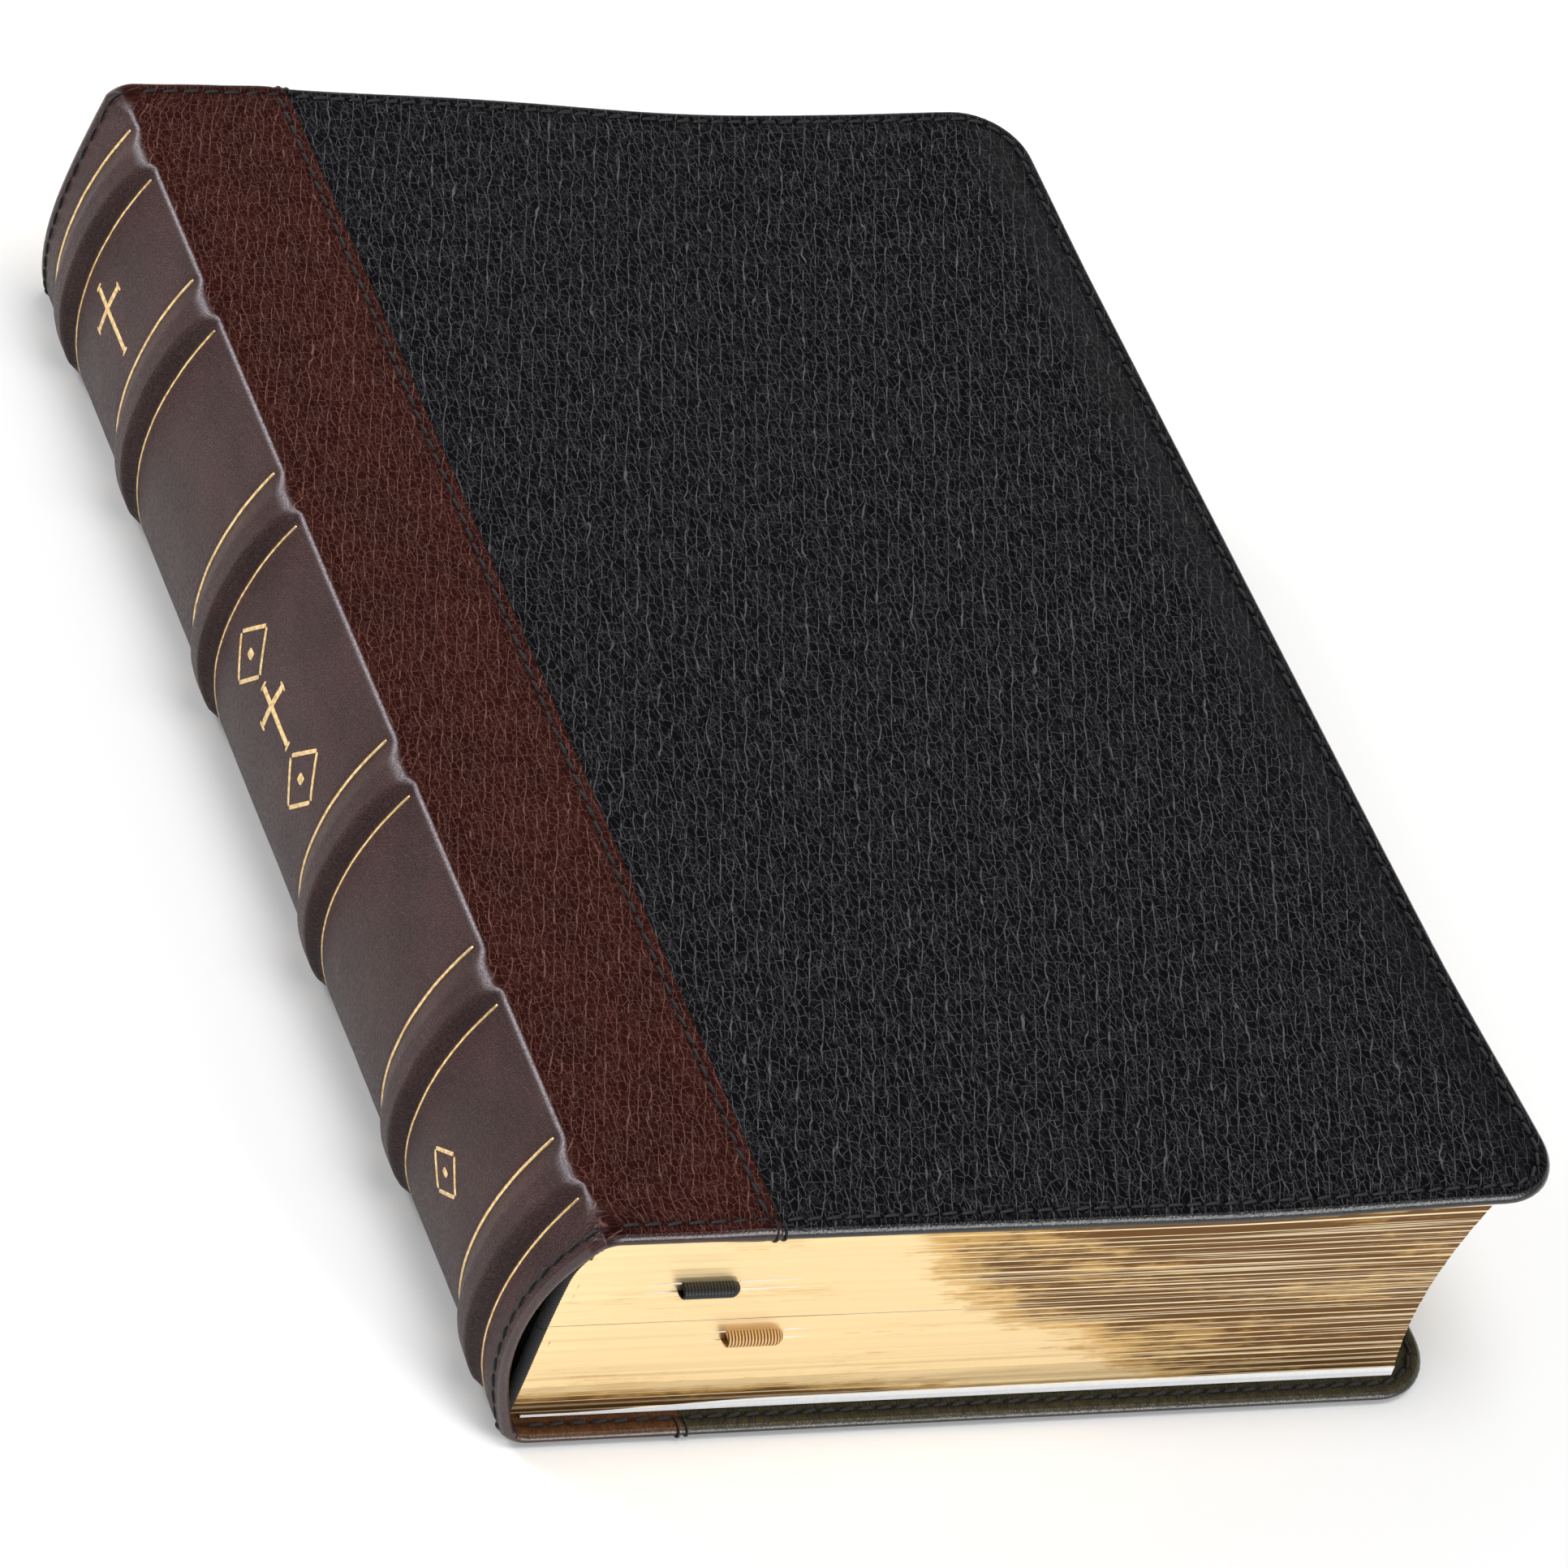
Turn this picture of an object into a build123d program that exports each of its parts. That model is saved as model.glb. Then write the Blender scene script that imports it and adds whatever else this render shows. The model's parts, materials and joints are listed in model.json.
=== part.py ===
"""A thick leather-bound bible that opens flat at its middle, built piece by piece.

Millimetres. The closed book lies on its back cover, the tail edge towards -Y and the spine
towards -X. The origin is under the middle of the whole book, on the surface it lies on.
"""

from build123d import *
import os
from math import asin, atan2, cos, degrees, hypot, radians, sin

# Driving dimensions
cover_length = 250.0  # tail to head
cover_width = 168.7  # hinge line to fore-edge
book_thickness = 47.5
cover_thickness = 2.7
corner_radius = 12.0
strip_width = 29.9  # burgundy leather, from the hinge line to the seam

skin = 0.9  # outer leather
board_thickness = 1.3
turn_in = 10.0  # leather folded over the inside of a cover
edge_wall = 1.4  # leather that wraps the board's edge

thread_inset = 2.5
thread_width = 0.7
thread_depth = 0.35
seam_stitch_inset = 2.0

spine_rise = 7.0  # how far the round spine stands out from the hinge lines
spine_shortfall = 1.2  # the spine leather ends this much inside the covers at head and tail
spine_leather_thickness = 1.2
spine_inlay_thickness = 0.6
hinge_clearance = 0.35

band_height = 2.2
band_base = 9.4
band_crest = 5.0
band_strip_base = 7.0
band_strip_crest = 4.0
band_centres = [108.2, 73.0, 29.0, -29.0, -71.8, -110.0]
rule_offset = 5.85  # from a band's centre to the gilt rule on each side of it
rule_width = 0.6
rule_end_gap = 0.5  # degrees of arc between a rule's end and the leather's
foil = 0.08

block_square = 3.0  # covers stand out past the leaves at head and tail
block_back = 1.9  # hinge line to the back of the text block
block_width = 157.0  # back of the block to its fore-edge corners
fore_edge_hollow = 3.0
shoulder_radius = 3.0
endpaper_thickness = 1.5
body_gap = 0.3  # between pieces that move against each other
sections_per_half = 6

lining_thickness = 0.7
lining_margin = 4.0
headband_radius = 1.0
headband_set_in = 2.4  # bead's axis from the hinge line

ribbon_width = 10.0
ribbon_thickness = 0.4
ribbon_channel_depth = 0.7
ribbon_channel_width = 10.8
ribbon_tail_leg = 72.0
ribbon_proud = 2.0
ribbon_head_margin = 4.0
gold_ribbon_centre = 36.3  # from the hinge line
black_ribbon_centre = 24.3
ribbon_leaves = 2.6  # height of the leaves that each ribbon folds round
gold_low = 18.7  # lowest of the gold ribbon's leaves
black_low = 30.6

# Gilt ornaments: length along the spine, width across it and the bars' width
upper_cross = (15.0, 10.0, 1.4)
middle_cross = (13.0, 9.0, 1.5)
side_lozenge = (10.0, 13.0, 1.2)
foot_lozenge = (10.0, 8.0, 1.2)
side_lozenge_step = 13.5  # from the middle cross
upper_rise = 2.4  # the upper cross stands this far from mid-thickness, towards the front
middle_rise = 3.8

# Worked out from the above
spine_reach = spine_rise + band_height
hinge_x = (spine_reach - cover_width) / 2
half_length = cover_length / 2
mid_z = book_thickness / 2
nose_radius = cover_thickness / 2
spine_radius = (mid_z**2 + spine_rise**2) / (2 * spine_rise)
arc_x = hinge_x + spine_radius - spine_rise
hinge_height = mid_z - nose_radius  # from the middle of the book to either hinge
hinge_distance = hypot(arc_x - hinge_x, hinge_height)
hinge_angle = degrees(atan2(hinge_height, arc_x - hinge_x))
spine_angle = hinge_angle - degrees(
    asin((nose_radius + hinge_clearance) / hinge_distance)
)
spine_half = half_length - spine_shortfall
block_half = half_length - block_square
block_x = hinge_x + block_back
fore_edge_x = hinge_x + cover_width

rear_bottom = cover_thickness
rear_leaves = rear_bottom + endpaper_thickness
rear_top = mid_z - body_gap / 2
front_bottom = mid_z + body_gap / 2
front_top = book_thickness - cover_thickness - body_gap
front_leaves = front_top - endpaper_thickness + body_gap
gold_high = gold_low + ribbon_leaves
black_high = black_low + ribbon_leaves


def levels(low, high, count):
    """Count + 1 heights from low to high, evenly spaced."""
    return [low + (high - low) * step / count for step in range(count + 1)]


def section_levels(low, high, ribbon_low, ribbon_high, below):
    """The heights between a half's sections; below counts those under the ribbon's leaves."""
    above = sections_per_half - 1 - below
    return levels(low, ribbon_low, below) + levels(ribbon_high, high, above)


gold_section = 4  # sections under the one that the gold ribbon folds round
black_section = 2
rear_levels = section_levels(rear_leaves, rear_top, gold_low, gold_high, gold_section)
front_levels = section_levels(
    front_bottom, front_leaves, black_low, black_high, black_section
)

os.makedirs("parts", exist_ok=True)


def save(part, name):
    """Labels a finished piece and writes it."""
    part.label = name
    export_step(part, f"parts/{name}.step")


# Covers: each is drawn from its outer face inwards, so the front one hangs from the top
back_face = Plane.XY
front_face = Plane(origin=(0, 0, book_thickness), x_dir=(1, 0, 0), z_dir=(0, 0, -1))


def cover_outline(left, inset):
    """A cover's outline from x = left to the fore-edge, rounded there and set in all round."""
    right = fore_edge_x - inset
    half = half_length - inset
    radius = max(corner_radius - inset, 1.0)
    with BuildLine() as outline:
        FilletPolyline(
            (left, half), (right, half), (right, -half), (left, -half), radius=radius
        )
        Line((left, half), (left, -half))
    make_face(outline.edges())


def strip_rectangle(left, right, half):
    """A plain rectangle between two x values, centred on the book's length."""
    with Locations(((left + right) / 2, 0)):
        Rectangle(right - left, 2 * half)


def thread_ring(left, inset, width):
    """The closed line of perimeter stitches, as a flat ring open on the hinge side."""
    cover_outline(left, inset - width / 2)
    with BuildSketch(mode=Mode.PRIVATE) as inner:
        cover_outline(left - 1, inset + width / 2)
    add(inner.sketch_local, mode=Mode.SUBTRACT)


seam_x = hinge_x + strip_width
board_left = hinge_x + edge_wall + nose_radius
pastedown_left = hinge_x + turn_in
thread_left = hinge_x + nose_radius
lining_depth = skin + board_thickness
seam_stitch_x = seam_x - seam_stitch_inset


def strip_thread(with_seam):
    """The strip's thread lines: along its head and tail, and along the seam if it has one."""
    middle = (thread_left + seam_x) / 2
    with Locations((middle, half_length - thread_inset), (middle, thread_inset - half_length)):
        Rectangle(seam_x - thread_left, thread_width)
    if with_seam:
        with Locations((seam_stitch_x, 0)):
            Rectangle(thread_width, 2 * (half_length - thread_inset))


for side, face in (("back", back_face), ("front", front_face)):
    with BuildPart() as board:
        with BuildSketch(face.offset(skin)):
            cover_outline(board_left, edge_wall)
        extrude(amount=board_thickness)
    save(board.part, f"{side}_board")

    with BuildPart() as pastedown:
        with BuildSketch(face.offset(lining_depth)):
            cover_outline(pastedown_left, turn_in)
        extrude(amount=cover_thickness - lining_depth)
    save(pastedown.part, f"{side}_pastedown")

    with BuildPart() as leather:
        with BuildSketch(face):
            cover_outline(seam_x, 0)
        extrude(amount=cover_thickness)
        with BuildSketch(face.offset(skin)):
            cover_outline(seam_x, edge_wall)
        extrude(amount=board_thickness, mode=Mode.SUBTRACT)
        with BuildSketch(face.offset(lining_depth)):
            cover_outline(seam_x, turn_in)
        extrude(amount=cover_thickness, mode=Mode.SUBTRACT)
        with BuildSketch(face, face.offset(cover_thickness - thread_depth)):
            thread_ring(seam_x, thread_inset, thread_width)
        extrude(amount=thread_depth, mode=Mode.SUBTRACT)
    save(leather.part, f"{side}_leather")

    # The strip ends in a full round on the hinge line, so it turns in place
    with BuildPart() as strip:
        with BuildSketch(face):
            strip_rectangle(hinge_x, seam_x, half_length)
        extrude(amount=cover_thickness)
        with BuildSketch(Plane.XZ.offset(-half_length)):
            with Locations((hinge_x, face.offset(nose_radius).origin.Z)):
                Circle(nose_radius)
        extrude(amount=cover_length)
        with BuildSketch(face.offset(skin)):
            strip_rectangle(board_left, seam_x, half_length - edge_wall)
        extrude(amount=board_thickness, mode=Mode.SUBTRACT)
        with BuildSketch(face.offset(lining_depth)):
            strip_rectangle(pastedown_left, seam_x, half_length - turn_in)
        extrude(amount=cover_thickness, mode=Mode.SUBTRACT)
        with BuildSketch(face, face.offset(cover_thickness - thread_depth)):
            strip_thread(with_seam=True)
        extrude(amount=thread_depth, mode=Mode.SUBTRACT)
    save(strip.part, f"{side}_strip")

    # One thread line on the outer face and one on the inner margin
    with BuildPart() as stitching:
        with BuildSketch(face):
            thread_ring(seam_x, thread_inset, thread_width)
            strip_thread(with_seam=True)
        extrude(amount=thread_depth)
        with BuildSketch(face.offset(cover_thickness - thread_depth)):
            thread_ring(seam_x, thread_inset, thread_width)
            strip_thread(with_seam=False)
        extrude(amount=thread_depth)
    save(stitching.part, f"{side}_stitching")


# Spine: every piece is a profile of radius against length, turned about one long axis
spine_axis = Axis((arc_x, 0, mid_z), (0, 1, 0))


def spine_plane(angle):
    """The plane holding a spine piece's profile at its lower end: local x is the radius."""
    turn = radians(angle)
    return Plane(
        origin=(arc_x, 0, mid_z),
        x_dir=(-cos(turn), 0, -sin(turn)),
        z_dir=(sin(turn), 0, -cos(turn)),
    )


def spine_band(inner, outer, low, high):
    """A rectangle between two radii and two places along the book."""
    with Locations(((inner + outer) / 2, (low + high) / 2)):
        Rectangle(outer - inner, high - low)


def hump(base_radius, height, centre, base, crest, mode=Mode.ADD):
    """A raised band's trapezium on a base radius."""
    Polygon(
        (base_radius, centre - base / 2),
        (base_radius + height, centre - crest / 2),
        (base_radius + height, centre + crest / 2),
        (base_radius, centre + base / 2),
        align=None,
        mode=mode,
    )


leather_inner = spine_radius - spine_leather_thickness
inlay_inner = leather_inner - spine_inlay_thickness
stitch_y = spine_half - thread_inset

with BuildPart() as spine_leather:
    with BuildSketch(spine_plane(spine_angle)):
        spine_band(leather_inner, spine_radius, -spine_half, spine_half)
        for centre in band_centres:
            hump(spine_radius, band_height, centre, band_base, band_crest)
        for centre in band_centres:
            hump(
                leather_inner,
                band_height,
                centre,
                band_strip_base,
                band_strip_crest,
                mode=Mode.SUBTRACT,
            )
        for y in (-stitch_y, stitch_y):
            with Locations((spine_radius - thread_depth / 2, y)):
                Rectangle(thread_depth, thread_width, mode=Mode.SUBTRACT)
    revolve(axis=spine_axis, revolution_arc=2 * spine_angle)
save(spine_leather.part, "spine_leather")

with BuildPart() as spine_stitching:
    with BuildSketch(spine_plane(spine_angle)):
        for y in (-stitch_y, stitch_y):
            spine_band(
                spine_radius - thread_depth,
                spine_radius,
                y - thread_width / 2,
                y + thread_width / 2,
            )
    revolve(axis=spine_axis, revolution_arc=2 * spine_angle)
save(spine_stitching.part, "spine_stitching")

with BuildPart() as spine_inlay:
    with BuildSketch(spine_plane(spine_angle)):
        spine_band(inlay_inner, leather_inner, -spine_half, spine_half)
    revolve(axis=spine_axis, revolution_arc=2 * spine_angle)
save(spine_inlay.part, "spine_inlay")

for number, centre in enumerate(band_centres, start=1):
    with BuildPart() as raised_band:
        with BuildSketch(spine_plane(spine_angle)):
            hump(leather_inner, band_height, centre, band_strip_base, band_strip_crest)
        revolve(axis=spine_axis, revolution_arc=2 * spine_angle)
    save(raised_band.part, f"raised_band_{number}")

with BuildPart() as gilt_rules:
    with BuildSketch(spine_plane(spine_angle - rule_end_gap)):
        for centre in band_centres:
            for y in (centre - rule_offset, centre + rule_offset):
                spine_band(
                    spine_radius, spine_radius + foil, y - rule_width / 2, y + rule_width / 2
                )
    revolve(axis=spine_axis, revolution_arc=2 * (spine_angle - rule_end_gap))
save(gilt_rules.part, "gilt_rules")


def cross(length, width, bar):
    """A plain Latin cross, its foot towards the tail."""
    Rectangle(length, bar)
    with Locations((length / 6, 0)):
        Rectangle(bar, width)


def lozenge(length, width, bar):
    """The outline of a lozenge."""
    inside = 1 - bar / min(length / 2, width / 2)
    for scale_by, mode in ((1, Mode.ADD), (inside, Mode.SUBTRACT)):
        half_l = length / 2 * scale_by
        half_w = width / 2 * scale_by
        Polygon(
            (-half_l, 0), (0, half_w), (half_l, 0), (0, -half_w), align=None, mode=mode
        )


panel_centres = [(a + b) / 2 for a, b in zip(band_centres, band_centres[1:])]

with BuildPart() as gilt_ornaments:
    with BuildSketch(Plane.YZ.offset(hinge_x - spine_reach)):
        with Locations((panel_centres[0], mid_z + upper_rise)):
            cross(*upper_cross)
        for step in (-side_lozenge_step, side_lozenge_step):
            with Locations((panel_centres[2] + step, mid_z + middle_rise)):
                lozenge(*side_lozenge)
        with Locations((panel_centres[2], mid_z + middle_rise)):
            cross(*middle_cross)
        with Locations((panel_centres[4], mid_z)):
            lozenge(*foot_lozenge)
    extrude(amount=spine_reach)
    with BuildSketch(spine_plane(spine_angle)):
        spine_band(spine_radius, spine_radius + foil, -spine_half, spine_half)
    revolve(axis=spine_axis, revolution_arc=2 * spine_angle, mode=Mode.INTERSECT)
save(gilt_ornaments.part, "gilt_ornaments")


# Text block: sewn sections, each a slab of one profile that is hollow at the fore-edge
def block_profile(low, high):
    """The block's section between two heights, looking along the book."""
    bottom = rear_bottom
    top = front_top
    right = block_x + block_width
    with BuildLine() as outline:
        Line((block_x, bottom), (right, bottom))
        ThreePointArc(
            (right, bottom), (right - fore_edge_hollow, (bottom + top) / 2), (right, top)
        )
        Line((right, top), (block_x, top))
        Line((block_x, top), (block_x, bottom))
    make_face(outline.edges())
    fillet(outline.vertices().group_by(Axis.X)[0], shoulder_radius)
    with Locations((0, (low + high) / 2)):
        Rectangle(4 * cover_width, high - low, mode=Mode.INTERSECT)


def channel(centre, low, high):
    """A shallow straight groove for a ribbon, cut the whole length of a section."""
    with Locations((hinge_x + centre, (low + high) / 2)):
        Rectangle(ribbon_channel_width, high - low, mode=Mode.SUBTRACT)


def leaves(name, low, high, ribbon_centre=None):
    """One bundle of leaves, with channels above and below if a ribbon folds round it."""
    with BuildPart() as section:
        with BuildSketch(Plane.XZ.offset(-block_half)):
            block_profile(low, high)
            if ribbon_centre:
                channel(ribbon_centre, low, low + ribbon_channel_depth)
                channel(ribbon_centre, high - ribbon_channel_depth, high)
        extrude(amount=2 * block_half)
    save(section.part, name)


leaves("rear_endpapers", rear_bottom, rear_leaves)
leaves("front_endpapers", front_leaves, front_top)
for number in range(sections_per_half):
    ribbon = gold_ribbon_centre if number == gold_section else None
    leaves(
        f"section_{number + 1:02d}", rear_levels[number], rear_levels[number + 1], ribbon
    )
for number in range(sections_per_half):
    ribbon = black_ribbon_centre if number == black_section else None
    leaves(
        f"section_{number + 1 + sections_per_half:02d}",
        front_levels[number],
        front_levels[number + 1],
        ribbon,
    )

with BuildPart() as spine_lining:
    with Locations((block_x - lining_thickness / 2, 0, mid_z)):
        Box(
            lining_thickness,
            2 * (block_half - lining_margin),
            front_top - rear_bottom - 2 * lining_margin,
        )
save(spine_lining.part, "spine_lining")

headband_y = block_half + headband_radius
for end, y in (("head", headband_y), ("tail", -headband_y)):
    with BuildPart() as headband:
        with BuildSketch(Plane.XY.offset(rear_bottom + lining_margin)):
            with Locations((hinge_x + headband_set_in + headband_radius, y)):
                Circle(headband_radius)
        extrude(amount=front_top - rear_bottom - 2 * lining_margin)
    save(headband.part, f"{end}_headband")


# Ribbon markers: the run lies in the book, and the tail folds round some leaves at the foot
def ribbon_pieces(colour, centre, low, high):
    """A ribbon's straight run and its folded tail, round the leaves between two heights."""
    clear = (ribbon_channel_depth - ribbon_thickness) / 2
    outer_low = low + clear
    outer_high = high - clear
    middle = (outer_low + outer_high) / 2
    loop_radius = (outer_high - outer_low) / 2
    loop_y = -block_half - ribbon_proud + loop_radius
    split_y = -block_half + ribbon_tail_leg
    side_plane = Plane.YZ.offset(hinge_x + centre - ribbon_width / 2)
    with BuildPart() as tail:
        with BuildSketch(side_plane):
            with Locations(((loop_y + split_y) / 2, middle)):
                Rectangle(split_y - loop_y, 2 * loop_radius)
            with Locations((loop_y, middle)):
                Circle(loop_radius)
            with Locations(((loop_y + split_y) / 2, middle)):
                Rectangle(
                    split_y - loop_y,
                    2 * (loop_radius - ribbon_thickness),
                    mode=Mode.SUBTRACT,
                )
            with Locations((loop_y, middle)):
                Circle(loop_radius - ribbon_thickness, mode=Mode.SUBTRACT)
        extrude(amount=ribbon_width)
    save(tail.part, f"{colour}_ribbon_tail")
    with BuildPart() as run:
        with BuildSketch(side_plane):
            with Locations(
                (
                    (split_y + block_half - ribbon_head_margin) / 2,
                    outer_high - ribbon_thickness / 2,
                )
            ):
                Rectangle(
                    block_half - ribbon_head_margin - split_y, ribbon_thickness
                )
        extrude(amount=ribbon_width)
    save(run.part, f"{colour}_ribbon_run")


ribbon_pieces("gold", gold_ribbon_centre, gold_low, gold_high)
ribbon_pieces("black", black_ribbon_centre, black_low, black_high)
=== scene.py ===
"""Looks for the leather-bound bible: its leathers, thread, gilt leaves, ribbons and studio.

Shapes are worked out in book millimetres: u from the covers' hinge line towards the
fore-edge, y from the middle of the book towards its head, and z up from the floor. point()
carries them into the frame. The front cover and the spine share one wrap of leather, and the
back cover is the front one turned over.
"""

import math
import json
import bmesh
import bpy
import numpy as np
from mathutils import Matrix, Vector, noise


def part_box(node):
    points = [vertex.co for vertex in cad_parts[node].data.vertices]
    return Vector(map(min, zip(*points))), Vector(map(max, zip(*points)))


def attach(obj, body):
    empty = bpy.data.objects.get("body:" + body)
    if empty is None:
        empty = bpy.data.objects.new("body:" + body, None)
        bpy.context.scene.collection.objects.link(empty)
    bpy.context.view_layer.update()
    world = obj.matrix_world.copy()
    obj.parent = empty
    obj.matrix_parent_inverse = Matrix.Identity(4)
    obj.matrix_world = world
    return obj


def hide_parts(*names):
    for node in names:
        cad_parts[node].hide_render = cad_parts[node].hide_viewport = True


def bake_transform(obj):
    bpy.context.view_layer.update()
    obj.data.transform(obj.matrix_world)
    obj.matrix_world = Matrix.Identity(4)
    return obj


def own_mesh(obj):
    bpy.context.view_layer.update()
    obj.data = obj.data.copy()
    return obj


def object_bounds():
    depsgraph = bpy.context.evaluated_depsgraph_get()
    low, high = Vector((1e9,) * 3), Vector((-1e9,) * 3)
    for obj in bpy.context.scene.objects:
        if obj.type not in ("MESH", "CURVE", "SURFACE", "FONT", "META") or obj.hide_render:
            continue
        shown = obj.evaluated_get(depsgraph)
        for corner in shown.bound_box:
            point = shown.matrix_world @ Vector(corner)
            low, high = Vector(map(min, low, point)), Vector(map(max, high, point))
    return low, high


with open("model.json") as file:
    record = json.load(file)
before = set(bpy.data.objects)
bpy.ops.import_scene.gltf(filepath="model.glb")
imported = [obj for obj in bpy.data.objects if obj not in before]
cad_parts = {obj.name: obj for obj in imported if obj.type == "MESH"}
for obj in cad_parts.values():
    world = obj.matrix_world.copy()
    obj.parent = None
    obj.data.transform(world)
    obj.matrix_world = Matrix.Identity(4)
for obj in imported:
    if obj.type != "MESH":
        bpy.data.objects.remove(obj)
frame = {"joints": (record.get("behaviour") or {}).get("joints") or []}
cad_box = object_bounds()

MM = 0.001
rng = np.random.default_rng(7)
joints = {joint["name"]: joint for joint in frame["joints"]}

# Sizes read from the frame, in millimetres
HINGE_X = joints["front_cover_turn"]["pos_m"][0] / MM
THICK = cad_box[1][2] / MM  # the closed book
HALF = cad_box[1][1] / MM  # middle of the book to the head edge
COVER = 2 * joints["spine_turn"]["pos_m"][2] / MM  # one cover's thickness
FORE = cad_box[1][0] / MM - HINGE_X  # hinge line to fore-edge
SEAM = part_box("front_strip")[1][0] / MM - HINGE_X
GUTTER_X = joints["text_open"]["pos_m"][0] / MM - HINGE_X
GUTTER_Z = joints["text_open"]["pos_m"][2] / MM
BLOCK_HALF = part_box("section_01")[1][1] / MM
BLOCK_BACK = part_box("section_06")[0][0] / MM - HINGE_X
BLOCK_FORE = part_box("rear_endpapers")[1][0] / MM - HINGE_X
REAR_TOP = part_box("section_06")[1][2] / MM
FRONT_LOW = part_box("section_07")[0][2] / MM
FRONT_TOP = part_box("front_endpapers")[1][2] / MM

# The spine's round back
RISE = 7.0  # how far it stands out between the bands
BAND_HEIGHT = 2.2
BAND_STEP = 1.5  # how far a band pushes the front ridge outwards
RADIUS = ((THICK / 2) ** 2 + RISE**2) / (2 * RISE)
ARC_U = RADIUS - RISE
BAND_Y = [sum(end[1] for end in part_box(f"raised_band_{i}")) / 2 / MM for i in range(1, 7)]
RULE_OFFSET = 5.85  # from a band's middle to the gilt rules beside it
SPINE_THICK = 2.3  # turned-in leather at the spine's head and tail
TAIL_DIP = 1.9  # how far its tail and head edges dip at the middle of the round
HEAD_DIP = 3.4
SHARP_RIDGE = 0.7  # the ridges' fold radius, along the book and at its ends
ROUND_RIDGE = 6.2
BACK_RIDGE_IN = 2.4  # the back ridge stands in from the front one, less at the tail
UNDERSIDE = 0.55  # the back leather stands this far off the floor, on its thread
PRESSED = 0.3  # the book's weight presses the back cover's inner face down by this much
ASKEW = 1.15  # the front cover stands this much nearer the head than the back one
DISH = 2.45  # how far the front cover sinks in its middle
SWELL = 0.45  # how far it rises beside the spine
TAIL_CURL = 2.0  # how far its corners curl up
HEAD_CURL = 0.8
FRONT_REACH = 1.45  # how far the front cover's fore-edge stands out beyond the CAD's
BACK_SHORT = 1.1  # how far the back cover's stands in

# Edges and thread
CORNER = 12.0  # radius of the covers' fore-edge corners
THREAD_INSET = 2.6  # from a cover's edge to its thread
SEAM_STITCH = 2.0  # from the strip's edge to its thread
PITCH = 3.3  # from stitch to stitch
THREAD = 0.30  # thread radius
GROOVE_SHARE = 0.89  # how high the perimeter thread lies, as a share of the cover's thickness
STITCH = 3.05  # a stitch's length
SLANT = 9.0  # a stitch's turn from the seam's line, in degrees
TIGHT = 0.55  # calm above which leather is rolled tightly
EDGE_GLOSS = 0.55  # specular level there


def smooth(low, high, value):
    """0 at low, 1 at high, with no kink; low may be above high."""
    t = np.clip((np.asarray(value, float) - low) / (high - low), 0, 1)
    return t * t * (3 - 2 * t)


def bell(distance, width):
    """1 at no distance, falling smoothly to nothing over about twice the width."""
    return np.exp(-((distance / width) ** 2))


def point(u, y, z):
    """Book millimetres to frame metres, for arrays of any one shape."""
    u, y, z = np.broadcast_arrays(u, y, z)
    return np.stack([(HINGE_X + u) * MM, y * MM, z * MM], axis=-1)


def settle(u, y, z):
    """A wrap point as the real book sits: back ridge drawn in, round flattened, covers askew."""
    up = np.clip(z / THICK, 0, 1)
    end = y / HALF
    drawn_in = (BACK_RIDGE_IN - 1.7 * smooth(-100, -122, y)) * np.exp(-np.clip(z, 0, None) / 8.0)
    flatter = (0.6 + 1.3 * smooth(-60, 110, y) * smooth(138, 112, y)) * (1 - (2 * up - 1) ** 2)
    longer = up * (FRONT_REACH + 0.3 * smooth(-30, -110, y)) - (1 - up) * BACK_SHORT
    near = 1 - 0.35 * bell(u - 42, 28)
    shift = ASKEW / 2 * (up * (1 + end) * near - (1 - up) * (1 - end))
    u = u + (drawn_in + flatter) * smooth(12, 0, u) + longer * smooth(70, FORE, u)
    depth = np.clip(z / COVER, -0.3, 1)
    pressed = UNDERSIDE * (1 - depth) - PRESSED * depth * smooth(COVER + 6, COVER, z)
    return point(u, y + shift, np.maximum(z + pressed, 0))


def wobble(a, b, scale, seed):
    """Smooth noise from -1 to 1 at each (a, b) in millimetres."""
    a, b = np.broadcast_arrays(a, b)
    values = [noise.noise(Vector((x / scale, y / scale, seed))) for x, y in zip(a.flat, b.flat)]
    return np.array(values).reshape(a.shape)


# ---------------------------------------------------------------- meshes
def make_piece(name, points, faces, materials, indices=None, attributes=None):
    """A mesh object from frame points, with smooth faces and named point attributes."""
    mesh = bpy.data.meshes.new(name)
    mesh.from_pydata(np.asarray(points, float).reshape(-1, 3).tolist(), [], faces)
    for material in materials:
        mesh.materials.append(material)
    mesh.polygons.foreach_set("use_smooth", [True] * len(mesh.polygons))
    if indices is not None:
        mesh.polygons.foreach_set("material_index", indices)
    for key, values in (attributes or {}).items():
        values = np.asarray(values, np.float32)
        if values.ndim == 2:
            layer = mesh.attributes.new(key, "FLOAT_VECTOR", "POINT")
            layer.data.foreach_set("vector", values.ravel())
        else:
            layer = mesh.attributes.new(key, "FLOAT", "POINT")
            layer.data.foreach_set("value", values)
    mesh.update()
    piece = bpy.data.objects.new(name, mesh)
    bpy.context.scene.collection.objects.link(piece)
    return piece


def grid_faces(rows, columns, start=0, close_columns=False, flip=False):
    """Quads of a grid whose points are stored row by row."""
    faces = []
    for i in range(rows - 1):
        for j in range(columns if close_columns else columns - 1):
            a = start + i * columns + j
            b = start + i * columns + (j + 1) % columns
            c, d = b + columns, a + columns
            faces.append((a, d, c, b) if flip else (a, b, c, d))
    return faces


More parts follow.
